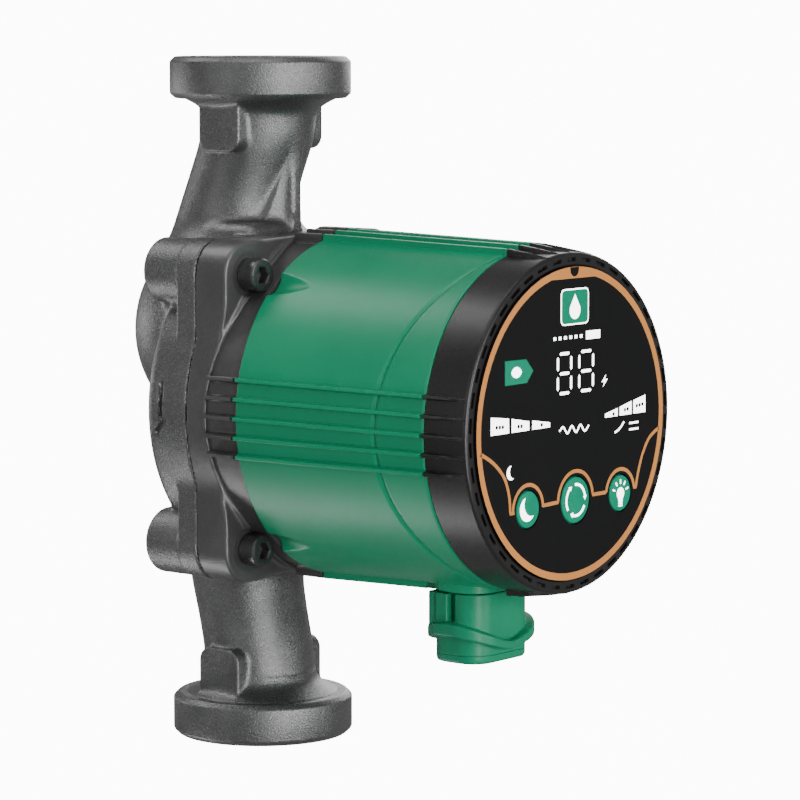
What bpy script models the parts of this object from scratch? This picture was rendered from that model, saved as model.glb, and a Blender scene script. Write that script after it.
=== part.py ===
"""Inline wet-rotor circulator pump, built as the separate pieces it comes apart into.

Frame: the pipe axis is Z, with the inlet at the top and the outlet at the bottom, and the
motor axis is Y. They meet at the origin. The display looks along -Y. Units are metres.
Most turned pieces lie on the motor axis, so their profiles are (radius, forward), where
forward is the distance from the pipe axis towards the display: y = -forward.
"""
import math

import bmesh
import bpy
from mathutils import Euler, Matrix, Vector

MM = 0.001
GAP = 0.3 * MM                     # between pieces that touch

# Pump end
HALF_LENGTH = 90.0 * MM            # port face to pipe centre
COLLAR_RADIUS = 23.9 * MM          # major radius of the union thread, 1 1/2 inch
COLLAR_HEIGHT = 11.0 * MM
COLLAR_CHAMFER = 1.3 * MM
PORT_RADIUS = 12.5 * MM
PAD_X = 16.9 * MM                  # spanner pads on the necks
JOINT_FORWARD = 12.4 * MM          # housing face that meets the motor flange
PLATE_BACK = 6.0 * MM
VOLUTE_RADIUS = 44.0 * MM
LOBE_HALF_WIDTH = 40.0 * MM
LOBE_HALF_HEIGHT = 43.9 * MM
LOBE_RADIUS = 8.7 * MM
BOLT_X = 31.3 * MM
BOLT_Z = 35.2 * MM
BOLT_HOLE_RADIUS = 2.8 * MM
BOSS_BACK = -5.8 * MM
BOSS_RADIUS = 8.2 * MM
DOME_CENTRE = Vector((0, 6.0 * MM, 18.2 * MM))
DOME_RADIUS = 27.2 * MM
DOME_STRETCH = (1.15, 1.0, 1.09)
CHAMBER_CENTRE = Vector((0, 8.75 * MM, 18.4 * MM))
CHAMBER_RADIUS = 21.0 * MM
CHAMBER_FRONT = 5.0 * MM           # y of the wall between impeller and suction chamber
EYE_CENTRE = Vector((0, 5.5 * MM, 0))
EYE_BULGE_RADIUS = 16.5 * MM
EYE_RADIUS = 11.3 * MM
SEAT_RADIUS = 36.2 * MM
SEAT_FORWARD = 9.9 * MM

# Motor end
FLANGE_BACK = JOINT_FORWARD + GAP
FLANGE_FRONT = 23.0 * MM           # front of the lobes
SPOT_FACE = 22.8 * MM              # seat of the screw heads
FLANGE_WAIST = 19.1 * MM           # front of the flange between the lobes
SCOOP_RADIUS = 88.8 * MM
BARREL_RADIUS = 43.3 * MM
BARREL_FRONT = 29.5 * MM
SLEEVE_RADIUS = 40.7 * MM          # motor barrel inside the shell
SLEEVE_FRONT = 66.5 * MM
BARREL_BORE = 38.3 * MM
CAN_RADIUS = 17.8 * MM
CAN_WALL = 0.8 * MM
CAN_FRONT = 71.0 * MM
SHELL_BACK = BARREL_FRONT + GAP
SHELL_FRONT = 89.0 * MM
SHELL_BACK_RADIUS = 44.3 * MM
SHELL_FRONT_RADIUS = 42.85 * MM
SHELL_BORE = 41.2 * MM
CAP_BACK = SHELL_FRONT + GAP
CAP_FRONT = 101.8 * MM
CAP_RADIUS = 42.5 * MM
PANEL_FRONT = 102.3 * MM
PANEL_RADIUS = 39.05 * MM
PANEL_BACK = 100.8 * MM
RIB_PITCH = 4.8 * MM
RIB_WIDTH = 1.2 * MM
RIB_HEIGHT = 1.5 * MM
RIBS_PER_GROUP = 5
RIB_GROUPS = (0, 90, 180, 270)     # degrees from +X towards +Z

# Rotor
SHAFT_RADIUS = 3.0 * MM
BEARING_BORE = 3.13 * MM
BEARING_RADIUS = 6.0 * MM
IMPELLER_RADIUS = 27.0 * MM
BLADES = 6
POLES = 6

# Controls
BOARD_BACK = 91.0 * MM
BOARD_FRONT = 92.6 * MM
BUTTONS = {"button_night": (-18.3, -19.5, 4.6), "button_mode": (1.3, -19.2, 5.85),
           "button_light": (20.4, -19.4, 4.6)}      # x, z, radius in millimetres

# Mains plug, hanging under the shell
PLUG_FRONT = 82.0 * MM
PLUG_BACK = 65.5 * MM
PLUG_HALF_WIDTH = 12.0 * MM
PLUG_CORNER = 6.4 * MM
PLUG_TOP = -44.0 * MM
PLUG_BOTTOM = -61.8 * MM
PLUG_COVER_TOP = -60.0 * MM
SKIRT_BOTTOM = -43.7 * MM
COLLAR_FRONT = 84.2 * MM
COLLAR_BACK = 63.6 * MM
COLLAR_HALF_WIDTH = 14.8 * MM
PLUG_COLLAR_CORNER = 9.0 * MM
PIN_PITCH = 5.0 * MM
PLUG_MIDDLE = 0.5 * (PLUG_FRONT + PLUG_BACK)

FACING_FRONT = (math.pi / 2, 0, 0)  # turns local Z to -Y and local Y to +Z

for old in list(bpy.data.objects):
    bpy.data.objects.remove(old, do_unlink=True)
parts = bpy.data.collections.new("circulator_pump")
cutters = bpy.data.collections.new("cutters")
bpy.context.scene.collection.children.link(parts)
bpy.context.scene.collection.children.link(cutters)


# ---------------------------------------------------------------- materials
def material(name, colour, roughness, metallic=0.0):
    made = bpy.data.materials.new(name)
    made.use_nodes = True
    shader = made.node_tree.nodes["Principled BSDF"]
    shader.inputs["Base Color"].default_value = (*colour, 1.0)
    shader.inputs["Roughness"].default_value = roughness
    shader.inputs["Metallic"].default_value = metallic
    made.diffuse_color = (*colour, 1.0)
    return made


CAST_IRON = material("cast_iron", (0.085, 0.085, 0.088), 0.55, 0.6)
GREY_CASTING = material("grey_casting", (0.11, 0.105, 0.105), 0.5, 0.6)
GREEN_PLASTIC = material("green_plastic", (0.02, 0.22, 0.12), 0.42)
BLACK_PLASTIC = material("black_plastic", (0.018, 0.016, 0.016), 0.4)
LABEL_BLACK = material("label_black", (0.012, 0.012, 0.012), 0.35)
BUTTON_GREEN = material("button_green", (0.02, 0.33, 0.19), 0.45)
STAINLESS = material("stainless_steel", (0.55, 0.55, 0.56), 0.3, 1.0)
SCREW_STEEL = material("black_steel", (0.06, 0.06, 0.062), 0.38, 0.8)
CERAMIC = material("ceramic", (0.8, 0.78, 0.72), 0.25)
CARBON = material("carbon", (0.03, 0.03, 0.032), 0.5)
MAGNET = material("magnet", (0.07, 0.07, 0.075), 0.45, 0.5)
COMPOSITE = material("composite", (0.5, 0.48, 0.43), 0.55)
RUBBER = material("rubber", (0.015, 0.015, 0.016), 0.8)
LAMINATION = material("lamination", (0.3, 0.31, 0.33), 0.45, 0.9)
COPPER = material("copper", (0.72, 0.32, 0.14), 0.35, 0.9)
BOARD = material("board", (0.03, 0.16, 0.07), 0.5)
COMPONENT = material("component", (0.05, 0.06, 0.09), 0.45)
BRASS = material("brass", (0.72, 0.53, 0.22), 0.3, 1.0)
ALUMINIUM = material("aluminium", (0.6, 0.6, 0.62), 0.35, 1.0)


# ---------------------------------------------------------------- modelling helpers
def add(name, mesh, location=(0, 0, 0), rotation=(0, 0, 0)):
    made = bpy.data.objects.new(name, mesh)
    made.location = location
    made.rotation_euler = rotation
    parts.objects.link(made)
    return made


def from_bmesh(name, shape, location=(0, 0, 0), rotation=(0, 0, 0)):
    mesh = bpy.data.meshes.new(name)
    shape.to_mesh(mesh)
    shape.free()
    return add(name, mesh, location, rotation)


def baked(source):
    """A mesh object in place of a curve or of an object with modifiers."""
    bpy.context.view_layer.update()
    evaluated = source.evaluated_get(bpy.context.evaluated_depsgraph_get())
    mesh = bpy.data.meshes.new_from_object(evaluated)
    shape = bmesh.new()
    shape.from_mesh(mesh)
    bmesh.ops.remove_doubles(shape, verts=shape.verts, dist=0.002 * MM)
    shape.to_mesh(mesh)
    shape.free()
    name = source.name
    matrix = source.matrix_world.copy()
    bpy.data.objects.remove(source, do_unlink=True)
    made = add(name, mesh)
    made.matrix_world = matrix
    return made


def box(name, low, high):
    """Block between two opposite corners."""
    low, high = Vector(low), Vector(high)
    shape = bmesh.new()
    bmesh.ops.create_cube(shape, size=1.0, matrix=Matrix.Diagonal((*(high - low), 1.0)))
    return from_bmesh(name, shape, (low + high) / 2)


def rod(name, radius, start, end, segments=24, end_radius=None):
    """Cylinder or cone from one point to another."""
    start, end = Vector(start), Vector(end)
    shape = bmesh.new()
    bmesh.ops.create_cone(shape, cap_ends=True, segments=segments, radius1=radius,
                          radius2=radius if end_radius is None else end_radius,
                          depth=(end - start).length)
    turn = (end - start).to_track_quat("Z", "Y").to_euler()
    return from_bmesh(name, shape, (start + end) / 2, turn)


def ball(name, radius, centre, segments=18):
    shape = bmesh.new()
    bmesh.ops.create_uvsphere(shape, u_segments=segments, v_segments=segments // 2, radius=radius)
    return from_bmesh(name, shape, centre)


def turned(name, profile, segments=48, rotation=FACING_FRONT, location=(0, 0, 0)):
    """Profile of (radius, height) turned about its own Z, outer side from top to bottom.

    A profile that starts and ends on the axis is a solid; any other is a closed ring.
    """
    solid = profile[0][0] == 0
    mesh = bpy.data.meshes.new(name)
    edges = [(i, i + 1) for i in range(len(profile) - 1)]
    if not solid:
        edges.append((len(profile) - 1, 0))
    mesh.from_pydata([(r, 0, h) for r, h in profile], edges, [])
    made = add(name, mesh, location, rotation)
    screw = made.modifiers.new("turn", "SCREW")
    screw.steps = screw.render_steps = segments
    screw.use_merge_vertices = True
    screw.merge_threshold = 0.00001
    return baked(made)


def prism(name, outlines, bottom, top, rotation=FACING_FRONT, location=(0, 0, 0)):
    """Flat outlines, the later ones being holes, extruded between two heights."""
    curve = bpy.data.curves.new(name, "CURVE")
    curve.dimensions = "2D"
    curve.fill_mode = "BOTH"
    curve.extrude = (top - bottom) / 2
    for outline in outlines:
        spline = curve.splines.new("POLY")
        spline.points.add(len(outline) - 1)
        for point, (x, y) in zip(spline.points, outline):
            point.co = (x, y, 0, 1)
        spline.use_cyclic_u = True
    made = add(name, curve)
    made.matrix_world = (Matrix.Translation(location) @ Euler(rotation).to_matrix().to_4x4()
                         @ Matrix.Translation((0, 0, (top + bottom) / 2)))
    return baked(made)


def tube(name, path, radii, sides=7):
    """Round tube along a path, with its own radius at each point and filled ends."""
    curve = bpy.data.curves.new(name, "CURVE")
    curve.dimensions = "3D"
    curve.bevel_depth = 1.0
    curve.bevel_resolution = sides
    curve.use_fill_caps = True
    spline = curve.splines.new("POLY")
    spline.points.add(len(path) - 1)
    for point, place, radius in zip(spline.points, path, radii):
        point.co = (*place, 1)
        point.radius = radius
    return baked(add(name, curve))


def combine(target, operation, tools):
    for tool in tools:
        modifier = target.modifiers.new(tool.name, "BOOLEAN")
        modifier.operation = operation
        modifier.object = tool
        modifier.solver = "EXACT"
        parts.objects.unlink(tool)
        cutters.objects.link(tool)
        tool.hide_render = True
        tool.display_type = "WIRE"


def join(target, *tools):
    combine(target, "UNION", tools)


def cut(target, *tools):
    combine(target, "DIFFERENCE", tools)


def finish(piece, look, angle=35):
    piece.data.materials.clear()
    piece.data.materials.append(look)
    piece.data.shade_smooth()
    piece.data.set_sharp_from_angle(angle=math.radians(angle))
    return piece


# ---------------------------------------------------------------- outlines
def arc(centre, radius, start, end, steps):
    """Points on an arc, angles in degrees."""
    return [(centre[0] + radius * math.cos(math.radians(start + (end - start) * i / steps)),
             centre[1] + radius * math.sin(math.radians(start + (end - start) * i / steps)))
            for i in range(steps + 1)]


def circle(radius, steps, centre=(0, 0)):
    return arc(centre, radius, 0, 360, steps)[:-1]


def rounded_rectangle(low, high, radius, steps=4):
    corners = ((high[0], high[1], 0), (low[0], high[1], 90),
               (low[0], low[1], 180), (high[0], low[1], 270))
    points = []
    for x, y, start in corners:
        centre = (x - math.copysign(radius, math.cos(math.radians(start + 45))),
                  y - math.copysign(radius, math.sin(math.radians(start + 45))))
        points += arc(centre, radius, start, start + 90, steps)
    return points


def bolt_places():
    return [(x, z) for x in (-BOLT_X, BOLT_X) for z in (-BOLT_Z, BOLT_Z)]


def lobe_plate(name, back, front):
    """Rounded square plate with a screw lobe at each corner, between two forward distances."""
    corner = (LOBE_HALF_WIDTH, LOBE_HALF_HEIGHT)
    return prism(name, [rounded_rectangle((-corner[0], -corner[1]), corner, LOBE_RADIUS)],
                 back, front)


def ribs(name, back, front, back_radius, front_radius, root=1.0 * MM, groups=RIB_GROUPS):
    """Raised cooling ribs along a slightly tapered barrel, sunk into it by their root."""
    made = []
    taper = math.atan2(back_radius - front_radius, front - back)
    radius = (back_radius + front_radius) / 2
    length = (front - back) / math.cos(taper)
    for group in groups:
        for index in range(RIBS_PER_GROUP):
            spread = (index - (RIBS_PER_GROUP - 1) / 2) * RIB_PITCH / SHELL_BACK_RADIUS
            angle = math.radians(group) + spread
            shape = bmesh.new()
            depth = RIB_HEIGHT + root
            bmesh.ops.create_cube(shape, size=1.0,
                                  matrix=Matrix.Diagonal((depth, length, RIB_WIDTH, 1.0)))
            rib = from_bmesh(f"{name}_rib", shape)
            rib.matrix_world = (Matrix.Rotation(-angle, 4, "Y")
                                @ Matrix.Translation((radius + RIB_HEIGHT - depth / 2,
                                                      -(back + front) / 2, 0))
                                @ Matrix.Rotation(taper, 4, "Z"))
            made.append(rib)
    return made


# ---------------------------------------------------------------- pump end
def neck_path(points):
    """Centres (0, y, z) and radii from rows of (y, z, radius) in millimetres."""
    return ([(0, y * MM, z * MM) for y, z, _ in points], [r * MM for _, _, r in points])


# The inlet neck leans back to pass behind the impeller; the outlet neck leans back less.
INLET_NECK = ((0.3, 83, 17.0), (0.7, 75, 15.1), (1.1, 69, 15.0), (3.0, 64, 15.1),
              (5.6, 57.5, 15.4), (7.7, 52.5, 15.9), (8.8, 46, 17.0), (8.8, 34, 19.5))
OUTLET_NECK = ((0.2, -83, 16.6), (0.8, -72, 14.7), (1.7, -66, 14.6), (3.4, -58, 14.6),
               (5.2, -50, 14.8), (6.0, -42, 15.6), (5.0, -33, 15.4), (2.6, -26, 14.2),
               (-2.5, -18, 11.0), (-6.0, -12, 8.0))
INLET_PASSAGE = ((0.0, 90.5, 12.5), (0.3, 80, 12.2), (1.1, 69, 11.6), (5.6, 57.5, 11.6),
                 (8.8, 46, 12.6), (9.4, 26, 13.5))
OUTLET_PASSAGE = ((0.0, -90.5, 12.5), (0.2, -80, 12.2), (1.7, -66, 11.4), (4.4, -53, 11.0),
                  (3.2, -42, 10.0), (-1.2, -31, 8.0))


def collar(name, top):
    """Union collar: inner end at the neck, outer end at the port face."""
    outer = top * HALF_LENGTH
    inner = top * (HALF_LENGTH - COLLAR_HEIGHT)
    low, high = min(outer, inner), max(outer, inner)
    profile = [(0, high), (COLLAR_RADIUS - COLLAR_CHAMFER, high),
               (COLLAR_RADIUS, high - COLLAR_CHAMFER), (COLLAR_RADIUS, low + COLLAR_CHAMFER),
               (COLLAR_RADIUS - COLLAR_CHAMFER, low), (0, low)]
    return turned(name, profile, 40, rotation=(0, 0, 0))


def flow_arrow():
    """Recessed arrow on the side of the volute: it points down, from inlet to outlet."""
    depth_x = (-45.0 * MM, -43.2 * MM)
    stem = box("arrow_stem", (depth_x[0], -4.5 * MM, -2.2 * MM), (depth_x[1], -3.2 * MM, 7.5 * MM))
    barb = box("arrow_barb", (-0.9 * MM, -0.6 * MM, -2.6 * MM), (0.9 * MM, 0.6 * MM, 2.6 * MM))
    barb.rotation_euler = (math.radians(-44), 0, 0)
    barb.location = (-44.1 * MM, -3.75 * MM, -4.0 * MM)
    return stem, barb


def make_pump_housing():
    housing = lobe_plate("pump_housing", PLATE_BACK, JOINT_FORWARD + 2 * MM)
    volute = turned("volute", [(0, JOINT_FORWARD + 1 * MM), (VOLUTE_RADIUS, JOINT_FORWARD + 1 * MM),
                               (VOLUTE_RADIUS, 0.2 * MM), (43.4 * MM, -1.0 * MM),
                               (41.5 * MM, -2.4 * MM), (36.0 * MM, -4.9 * MM), (0, -5.2 * MM)], 48)
    bosses = [rod("boss", BOSS_RADIUS, (x, -JOINT_FORWARD + 3 * MM, z), (x, -BOSS_BACK, z), 16)
              for x, z in bolt_places()]
    pads = []
    for side in (-1, 1):
        x = sorted((side * 8.0 * MM, side * PAD_X))
        pads.append(box("inlet_pad", (x[0], -5.8 * MM, 66 * MM), (x[1], 6.8 * MM, 80 * MM)))
        pads.append(box("outlet_pad", (x[0], -4.8 * MM, -80 * MM), (x[1], 7.6 * MM, -66.5 * MM)))
    fin = prism("fin", [[(-12.2 * MM, 42 * MM), (2 * MM, 42 * MM), (2 * MM, 60 * MM),
                         (-10 * MM, 69 * MM), (-12.2 * MM, 66 * MM)]], -2.0 * MM, 2.0 * MM,
                rotation=(math.pi / 2, 0, math.pi / 2))
    step = box("neck_step", (-16.5 * MM, -12.1 * MM, 38 * MM), (16.5 * MM, 5 * MM, 46.8 * MM))
    dome = ball("dome", DOME_RADIUS, DOME_CENTRE, 26)
    dome.scale = DOME_STRETCH
    join(housing, volute, *bosses, step, fin,
         dome, ball("eye_bulge", EYE_BULGE_RADIUS, EYE_CENTRE),
         tube("inlet_neck", *neck_path(INLET_NECK)), tube("outlet_neck", *neck_path(OUTLET_NECK)),
         *pads, collar("inlet_collar", 1), collar("outlet_collar", -1))

    front = box("front_clearance", (-60 * MM, -60 * MM, -60 * MM), (60 * MM, -JOINT_FORWARD, 60 * MM))
    behind_wall = box("wall_keep", (-40 * MM, -40 * MM, -40 * MM),
                      (40 * MM, CHAMBER_FRONT, 60 * MM))
    chamber = ball("suction_chamber", CHAMBER_RADIUS, CHAMBER_CENTRE)
    eye_chamber = ball("eye_chamber", 13.0 * MM, EYE_CENTRE)
    join(chamber, eye_chamber)
    cut(chamber, behind_wall)
    holes = [rod("screw_hole", BOLT_HOLE_RADIUS, (x, -20 * MM, z), (x, 2.0 * MM, z), 12)
             for x, z in bolt_places()]
    cut(housing, front, chamber,
        tube("inlet_passage", *neck_path(INLET_PASSAGE), sides=5),
        tube("outlet_passage", *neck_path(OUTLET_PASSAGE), sides=5),
        rod("can_seat", SEAT_RADIUS, (0, -20 * MM, 0), (0, -SEAT_FORWARD, 0), 42),
        rod("volute_mouth", 33 * MM, (0, -15 * MM, 0), (0, -8 * MM, 0), 38),
        rod("volute_cavity", 36 * MM, (0, -8.4 * MM, -3 * MM), (0, 1.6 * MM, -3 * MM), 38),
        rod("eye", EYE_RADIUS, (0, 0, 0), (0, 8 * MM, 0), 26),
        *holes, *flow_arrow())
    finish(housing, CAST_IRON)


def ring(name, inner, outer, back, front, look, segments=24):
    piece = turned(name, [(outer, front), (outer, back), (inner, back), (inner, front)], segments)
    return finish(piece, look)


def make_impeller():
    """Back plate, hub and curved blades, and the suction shroud that closes them."""
    plate = turned("impeller", [(IMPELLER_RADIUS, 9.3 * MM), (IMPELLER_RADIUS, 8.0 * MM),
                                (5.5 * MM, 7.4 * MM), (5.0 * MM, 1.0 * MM),
                                (3.3 * MM, 1.0 * MM), (3.3 * MM, 9.3 * MM)], 32)
    blades = []
    for index in range(BLADES):
        outer = arc((0, 0), 17 * MM, 90, 20, 5)
        inner = arc((0, 0), 15.8 * MM, 20, 90, 5)
        outline = [(x - 1.5 * MM, y - 16.5 * MM + 17 * MM * 0.62) for x, y in outer + inner]
        blade = prism("blade", [outline], 2.6 * MM, 8.2 * MM)
        blade.matrix_world = Matrix.Rotation(2 * math.pi * index / BLADES, 4, "Y") @ blade.matrix_world
        blades.append(blade)
    trim = turned("blade_trim", [(40 * MM, 12 * MM), (40 * MM, 0), (IMPELLER_RADIUS - 0.2 * MM, 0),
                                 (IMPELLER_RADIUS - 0.2 * MM, 7.95 * MM),
                                 (IMPELLER_RADIUS + 0.5 * MM, 12 * MM)], 32)
    join(plate, *blades)
    cut(plate, trim)
    finish(plate, COMPOSITE)
    shroud = turned("impeller_shroud", [(IMPELLER_RADIUS, 2.3 * MM), (IMPELLER_RADIUS, 1.1 * MM),
                                        (9.3 * MM, 0.6 * MM), (9.3 * MM, -3.8 * MM),
                                        (8.0 * MM, -3.8 * MM), (8.0 * MM, 1.4 * MM),
                                        (9.6 * MM, 2.3 * MM)], 28)
    finish(shroud, COMPOSITE)


def make_rotor():
    finish(turned("shaft", [(0, 69.0 * MM), (2.6 * MM, 69.0 * MM), (SHAFT_RADIUS, 68.6 * MM),
                            (SHAFT_RADIUS, -0.7 * MM), (2.6 * MM, -1.1 * MM), (0, -1.1 * MM)], 24),
           CERAMIC)
    ring("rotor_magnet", 3.3 * MM, 14.6 * MM, 23.0 * MM, 57.0 * MM, MAGNET)
    ring("rotor_sleeve", 14.9 * MM, 15.7 * MM, 22.6 * MM, 57.4 * MM, STAINLESS)
    ring("thrust_ring", 3.3 * MM, 6.4 * MM, 20.4 * MM, 22.4 * MM, CERAMIC, 24)
    ring("impeller_clip", 3.3 * MM, 4.6 * MM, -0.4 * MM, 0.7 * MM, STAINLESS, 20)


def make_wet_end_fixtures():
    ring("wear_ring", 9.7 * MM, 11.0 * MM, -4.6 * MM, -0.6 * MM, STAINLESS, 24)
    can_flange_back, can_flange_front = 11.3 * MM, 12.35 * MM
    plate = turned("bearing_plate", [(34.0 * MM, 11.0 * MM), (34.0 * MM, 10.2 * MM),
                                     (6.9 * MM, 10.2 * MM), (6.3 * MM, 10.8 * MM),
                                     (6.3 * MM, 19.0 * MM), (7.4 * MM, 19.0 * MM),
                                     (7.4 * MM, 11.0 * MM)], 28)
    finish(plate, STAINLESS)
    ring("can_gasket", 34.3 * MM, 35.9 * MM, 10.2 * MM, 11.0 * MM, RUBBER, 36)
    can = turned("rotor_can", [(0, CAN_FRONT), (7.1 * MM, CAN_FRONT), (7.1 * MM, 63.0 * MM),
                               (CAN_RADIUS, 62.0 * MM), (CAN_RADIUS, can_flange_front),
                               (35.9 * MM, can_flange_front), (35.9 * MM, can_flange_back),
                               (CAN_RADIUS - CAN_WALL, can_flange_back),
                               (CAN_RADIUS - CAN_WALL, 61.2 * MM), (6.3 * MM, 62.2 * MM),
                               (6.3 * MM, 70.2 * MM), (0, 70.2 * MM)], 28)
    finish(can, STAINLESS)
    ring("front_bearing", BEARING_BORE, BEARING_RADIUS, 11.4 * MM, 19.8 * MM, CARBON, 24)
    ring("rear_bearing", BEARING_BORE, BEARING_RADIUS, 62.5 * MM, 69.9 * MM, CARBON, 24)


# ---------------------------------------------------------------- motor end
def make_motor_flange():
    """Grey casting: lobed flange, ribbed barrel and the plain sleeve inside the shell."""
    flange = lobe_plate("motor_flange", FLANGE_BACK, FLANGE_FRONT)
    join(flange, rod("flange_disc", VOLUTE_RADIUS, (0, -FLANGE_BACK - 0.01 * MM, 0),
                     (0, -FLANGE_FRONT + 0.01 * MM, 0), 48))
    centre = FLANGE_WAIST + SCOOP_RADIUS
    scoops = [rod("scoop", SCOOP_RADIUS, (-60 * MM, -centre, 0), (60 * MM, -centre, 0), 64),
              rod("scoop", SCOOP_RADIUS, (0, -centre, -60 * MM), (0, -centre, 60 * MM), 64)]
    cut(flange, *scoops)
    barrel = turned("barrel", [(0, BARREL_FRONT), (BARREL_RADIUS, BARREL_FRONT),
                               (BARREL_RADIUS, FLANGE_BACK + 1 * MM), (0, FLANGE_BACK + 1 * MM)],
                    64, rotation=(math.pi / 2, math.pi / 64, 0))
    sleeve = rod("sleeve", SLEEVE_RADIUS, (0, -25 * MM, 0), (0, -SLEEVE_FRONT, 0), 48)
    join(flange, barrel, sleeve,
         *ribs("barrel", FLANGE_WAIST - 1 * MM, BARREL_FRONT - 0.2 * MM, SHELL_BACK_RADIUS,
               SHELL_BACK_RADIUS, root=2.0 * MM))
    reliefs = [rod("spot_face", 5.2 * MM, (x, -SPOT_FACE, z), (x, -40 * MM, z), 16)
               for x, z in bolt_places()]
    holes = [rod("screw_way", BOLT_HOLE_RADIUS, (x, 0, z), (x, -30 * MM, z), 12)
             for x, z in bolt_places()]
    cut(flange, *reliefs, *holes,
        rod("can_way", CAN_RADIUS + 0.6 * MM, (0, 0, 0), (0, -30 * MM, 0), 32),
        rod("stator_bore", BARREL_BORE, (0, -22 * MM, 0), (0, -80 * MM, 0), 48))
    finish(flange, GREY_CASTING)


def make_screws():
    """Socket cap screws M5 that hold the motor on the pump housing."""
    seat, head = SPOT_FACE + GAP, SPOT_FACE + GAP + 5 * MM
    for index, (x, z) in enumerate(bolt_places()):
        screw = turned(f"flange_screw_{index + 1}",
                       [(0, head), (3.9 * MM, head), (4.25 * MM, head - 0.4 * MM), (4.25 * MM, seat),
                        (2.5 * MM, seat), (2.5 * MM, -0.8 * MM), (1.9 * MM, -1.5 * MM),
                        (0, -1.5 * MM)], 16, location=(x, 0, z))
        socket = rod("hex_socket", 2.31 * MM, (x, -head - 1 * MM, z), (x, -head + 2.6 * MM, z), 6)
        cut(screw, socket)
        finish(screw, SCREW_STEEL)


def make_stator():
    """Laminated core with six teeth, and a coil round each tooth."""
    half_tooth, tooth_inner, slot_outer = 5.2 * MM, 18.7 * MM, 32.5 * MM
    inner = []
    for pole in range(POLES):
        middle = 360 * pole / POLES
        tip = math.degrees(math.asin(half_tooth / tooth_inner))
        root = math.degrees(math.asin(half_tooth / slot_outer))
        inner += arc((0, 0), slot_outer, middle - 180 / POLES, middle - root, 3)[1:]
        inner += arc((0, 0), tooth_inner, middle - tip, middle + tip, 4)
        inner += arc((0, 0), slot_outer, middle + root, middle + 180 / POLES, 3)
    core = prism("stator_core", [circle(38 * MM, 42), inner], 34 * MM, 60 * MM)
    finish(core, LAMINATION)
    for pole in range(POLES):
        hole = rounded_rectangle((-half_tooth - GAP, -13.4 * MM), (half_tooth + GAP, 13.4 * MM),
                                 0.5 * MM, 1)
        outer = rounded_rectangle((-half_tooth - 4.0 * MM, -17.5 * MM),
                                  (half_tooth + 4.0 * MM, 17.5 * MM), 3.5 * MM, 2)
        coil = prism(f"stator_coil_{pole + 1}", [outer, hole], 21.8 * MM, 30.5 * MM,
                     rotation=(0, math.pi / 2, 0))
        coil.matrix_world = (Matrix.Translation((0, -47 * MM, 0))
                             @ Matrix.Rotation(2 * math.pi * pole / POLES, 4, "Y")
                             @ coil.matrix_world)
        finish(coil, COPPER)


def plug_outline(inset=0.0, back=PLUG_BACK, front=PLUG_FRONT, half=PLUG_HALF_WIDTH,
                 corner=PLUG_CORNER):
    """Oval of the connector seen from above, as (x, y)."""
    return rounded_rectangle((-half + inset, -front + inset), (half - inset, -back - inset),
                             max(corner - inset, 0.5 * MM))


def make_shell():
    """Green shell over the motor, with ribs, screwdriver clearances and the plug skirt."""
    shell = turned("stator_shell", [(SHELL_FRONT_RADIUS, SHELL_FRONT),
                                    (SHELL_BACK_RADIUS, SHELL_BACK), (SHELL_BORE, SHELL_BACK),
                                    (SHELL_BORE, 82.6 * MM), (39.8 * MM, 82.6 * MM),
                                    (39.8 * MM, 84.4 * MM), (SHELL_BORE, 84.4 * MM),
                                    (SHELL_BORE, SHELL_FRONT)], 52)
    skirt = prism("skirt", [plug_outline(-0.3 * MM)], SKIRT_BOTTOM, -39.5 * MM, rotation=(0, 0, 0))
    pocket = prism("pocket", [plug_outline(1.6 * MM)], -50 * MM, -30 * MM, rotation=(0, 0, 0))
    clear = rod("bore_clear", SHELL_BORE + 0.5 * MM, (0, -30 * MM, 0), (0, -90 * MM, 0), 50)
    cut(skirt, clear)
    join(shell, skirt,
         *ribs("shell", SHELL_BACK + 0.2 * MM, SHELL_FRONT - 0.2 * MM, SHELL_BACK_RADIUS,
               SHELL_FRONT_RADIUS, groups=RIB_GROUPS[:3]),
         *ribs("shell", SHELL_BACK + 0.2 * MM, 64.0 * MM, SHELL_BACK_RADIUS, 43.45 * MM,
               groups=RIB_GROUPS[3:]))
    apex, mouth, slope = 61.4 * MM, 28.0 * MM, 5.3 / 33.4
    cones = [rod("scallop", (apex - mouth) * slope, (x, -mouth, z), (x, -apex, z), 16,
                 end_radius=0.0) for x, z in bolt_places()]
    cut(shell, pocket, *cones)
    finish(shell, GREEN_PLASTIC)


def make_control_cap():
    cap = turned("control_cap", [(CAP_RADIUS - 0.5 * MM, CAP_FRONT), (CAP_RADIUS, CAP_FRONT - 0.5 * MM),
                                 (SHELL_FRONT_RADIUS, CAP_BACK), (40.9 * MM, CAP_BACK),
                                 (40.9 * MM, 86.3 * MM), (39.4 * MM, 86.3 * MM),
                                 (39.4 * MM, 99.0 * MM), (36.5 * MM, 99.0 * MM),
                                 (36.5 * MM, PANEL_BACK - GAP), (PANEL_RADIUS + GAP, PANEL_BACK - GAP),
                                 (PANEL_RADIUS + GAP, CAP_FRONT)], 52)
    join(cap, *ribs("cap", CAP_BACK + 0.2 * MM, CAP_FRONT - 1.5 * MM,
                    SHELL_FRONT_RADIUS, CAP_RADIUS - 1.0 * MM))
    finish(cap, BLACK_PLASTIC)
    ring("cap_gasket", 39.9 * MM, 41.0 * MM, 84.7 * MM, 86.0 * MM, RUBBER, 36)


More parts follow.
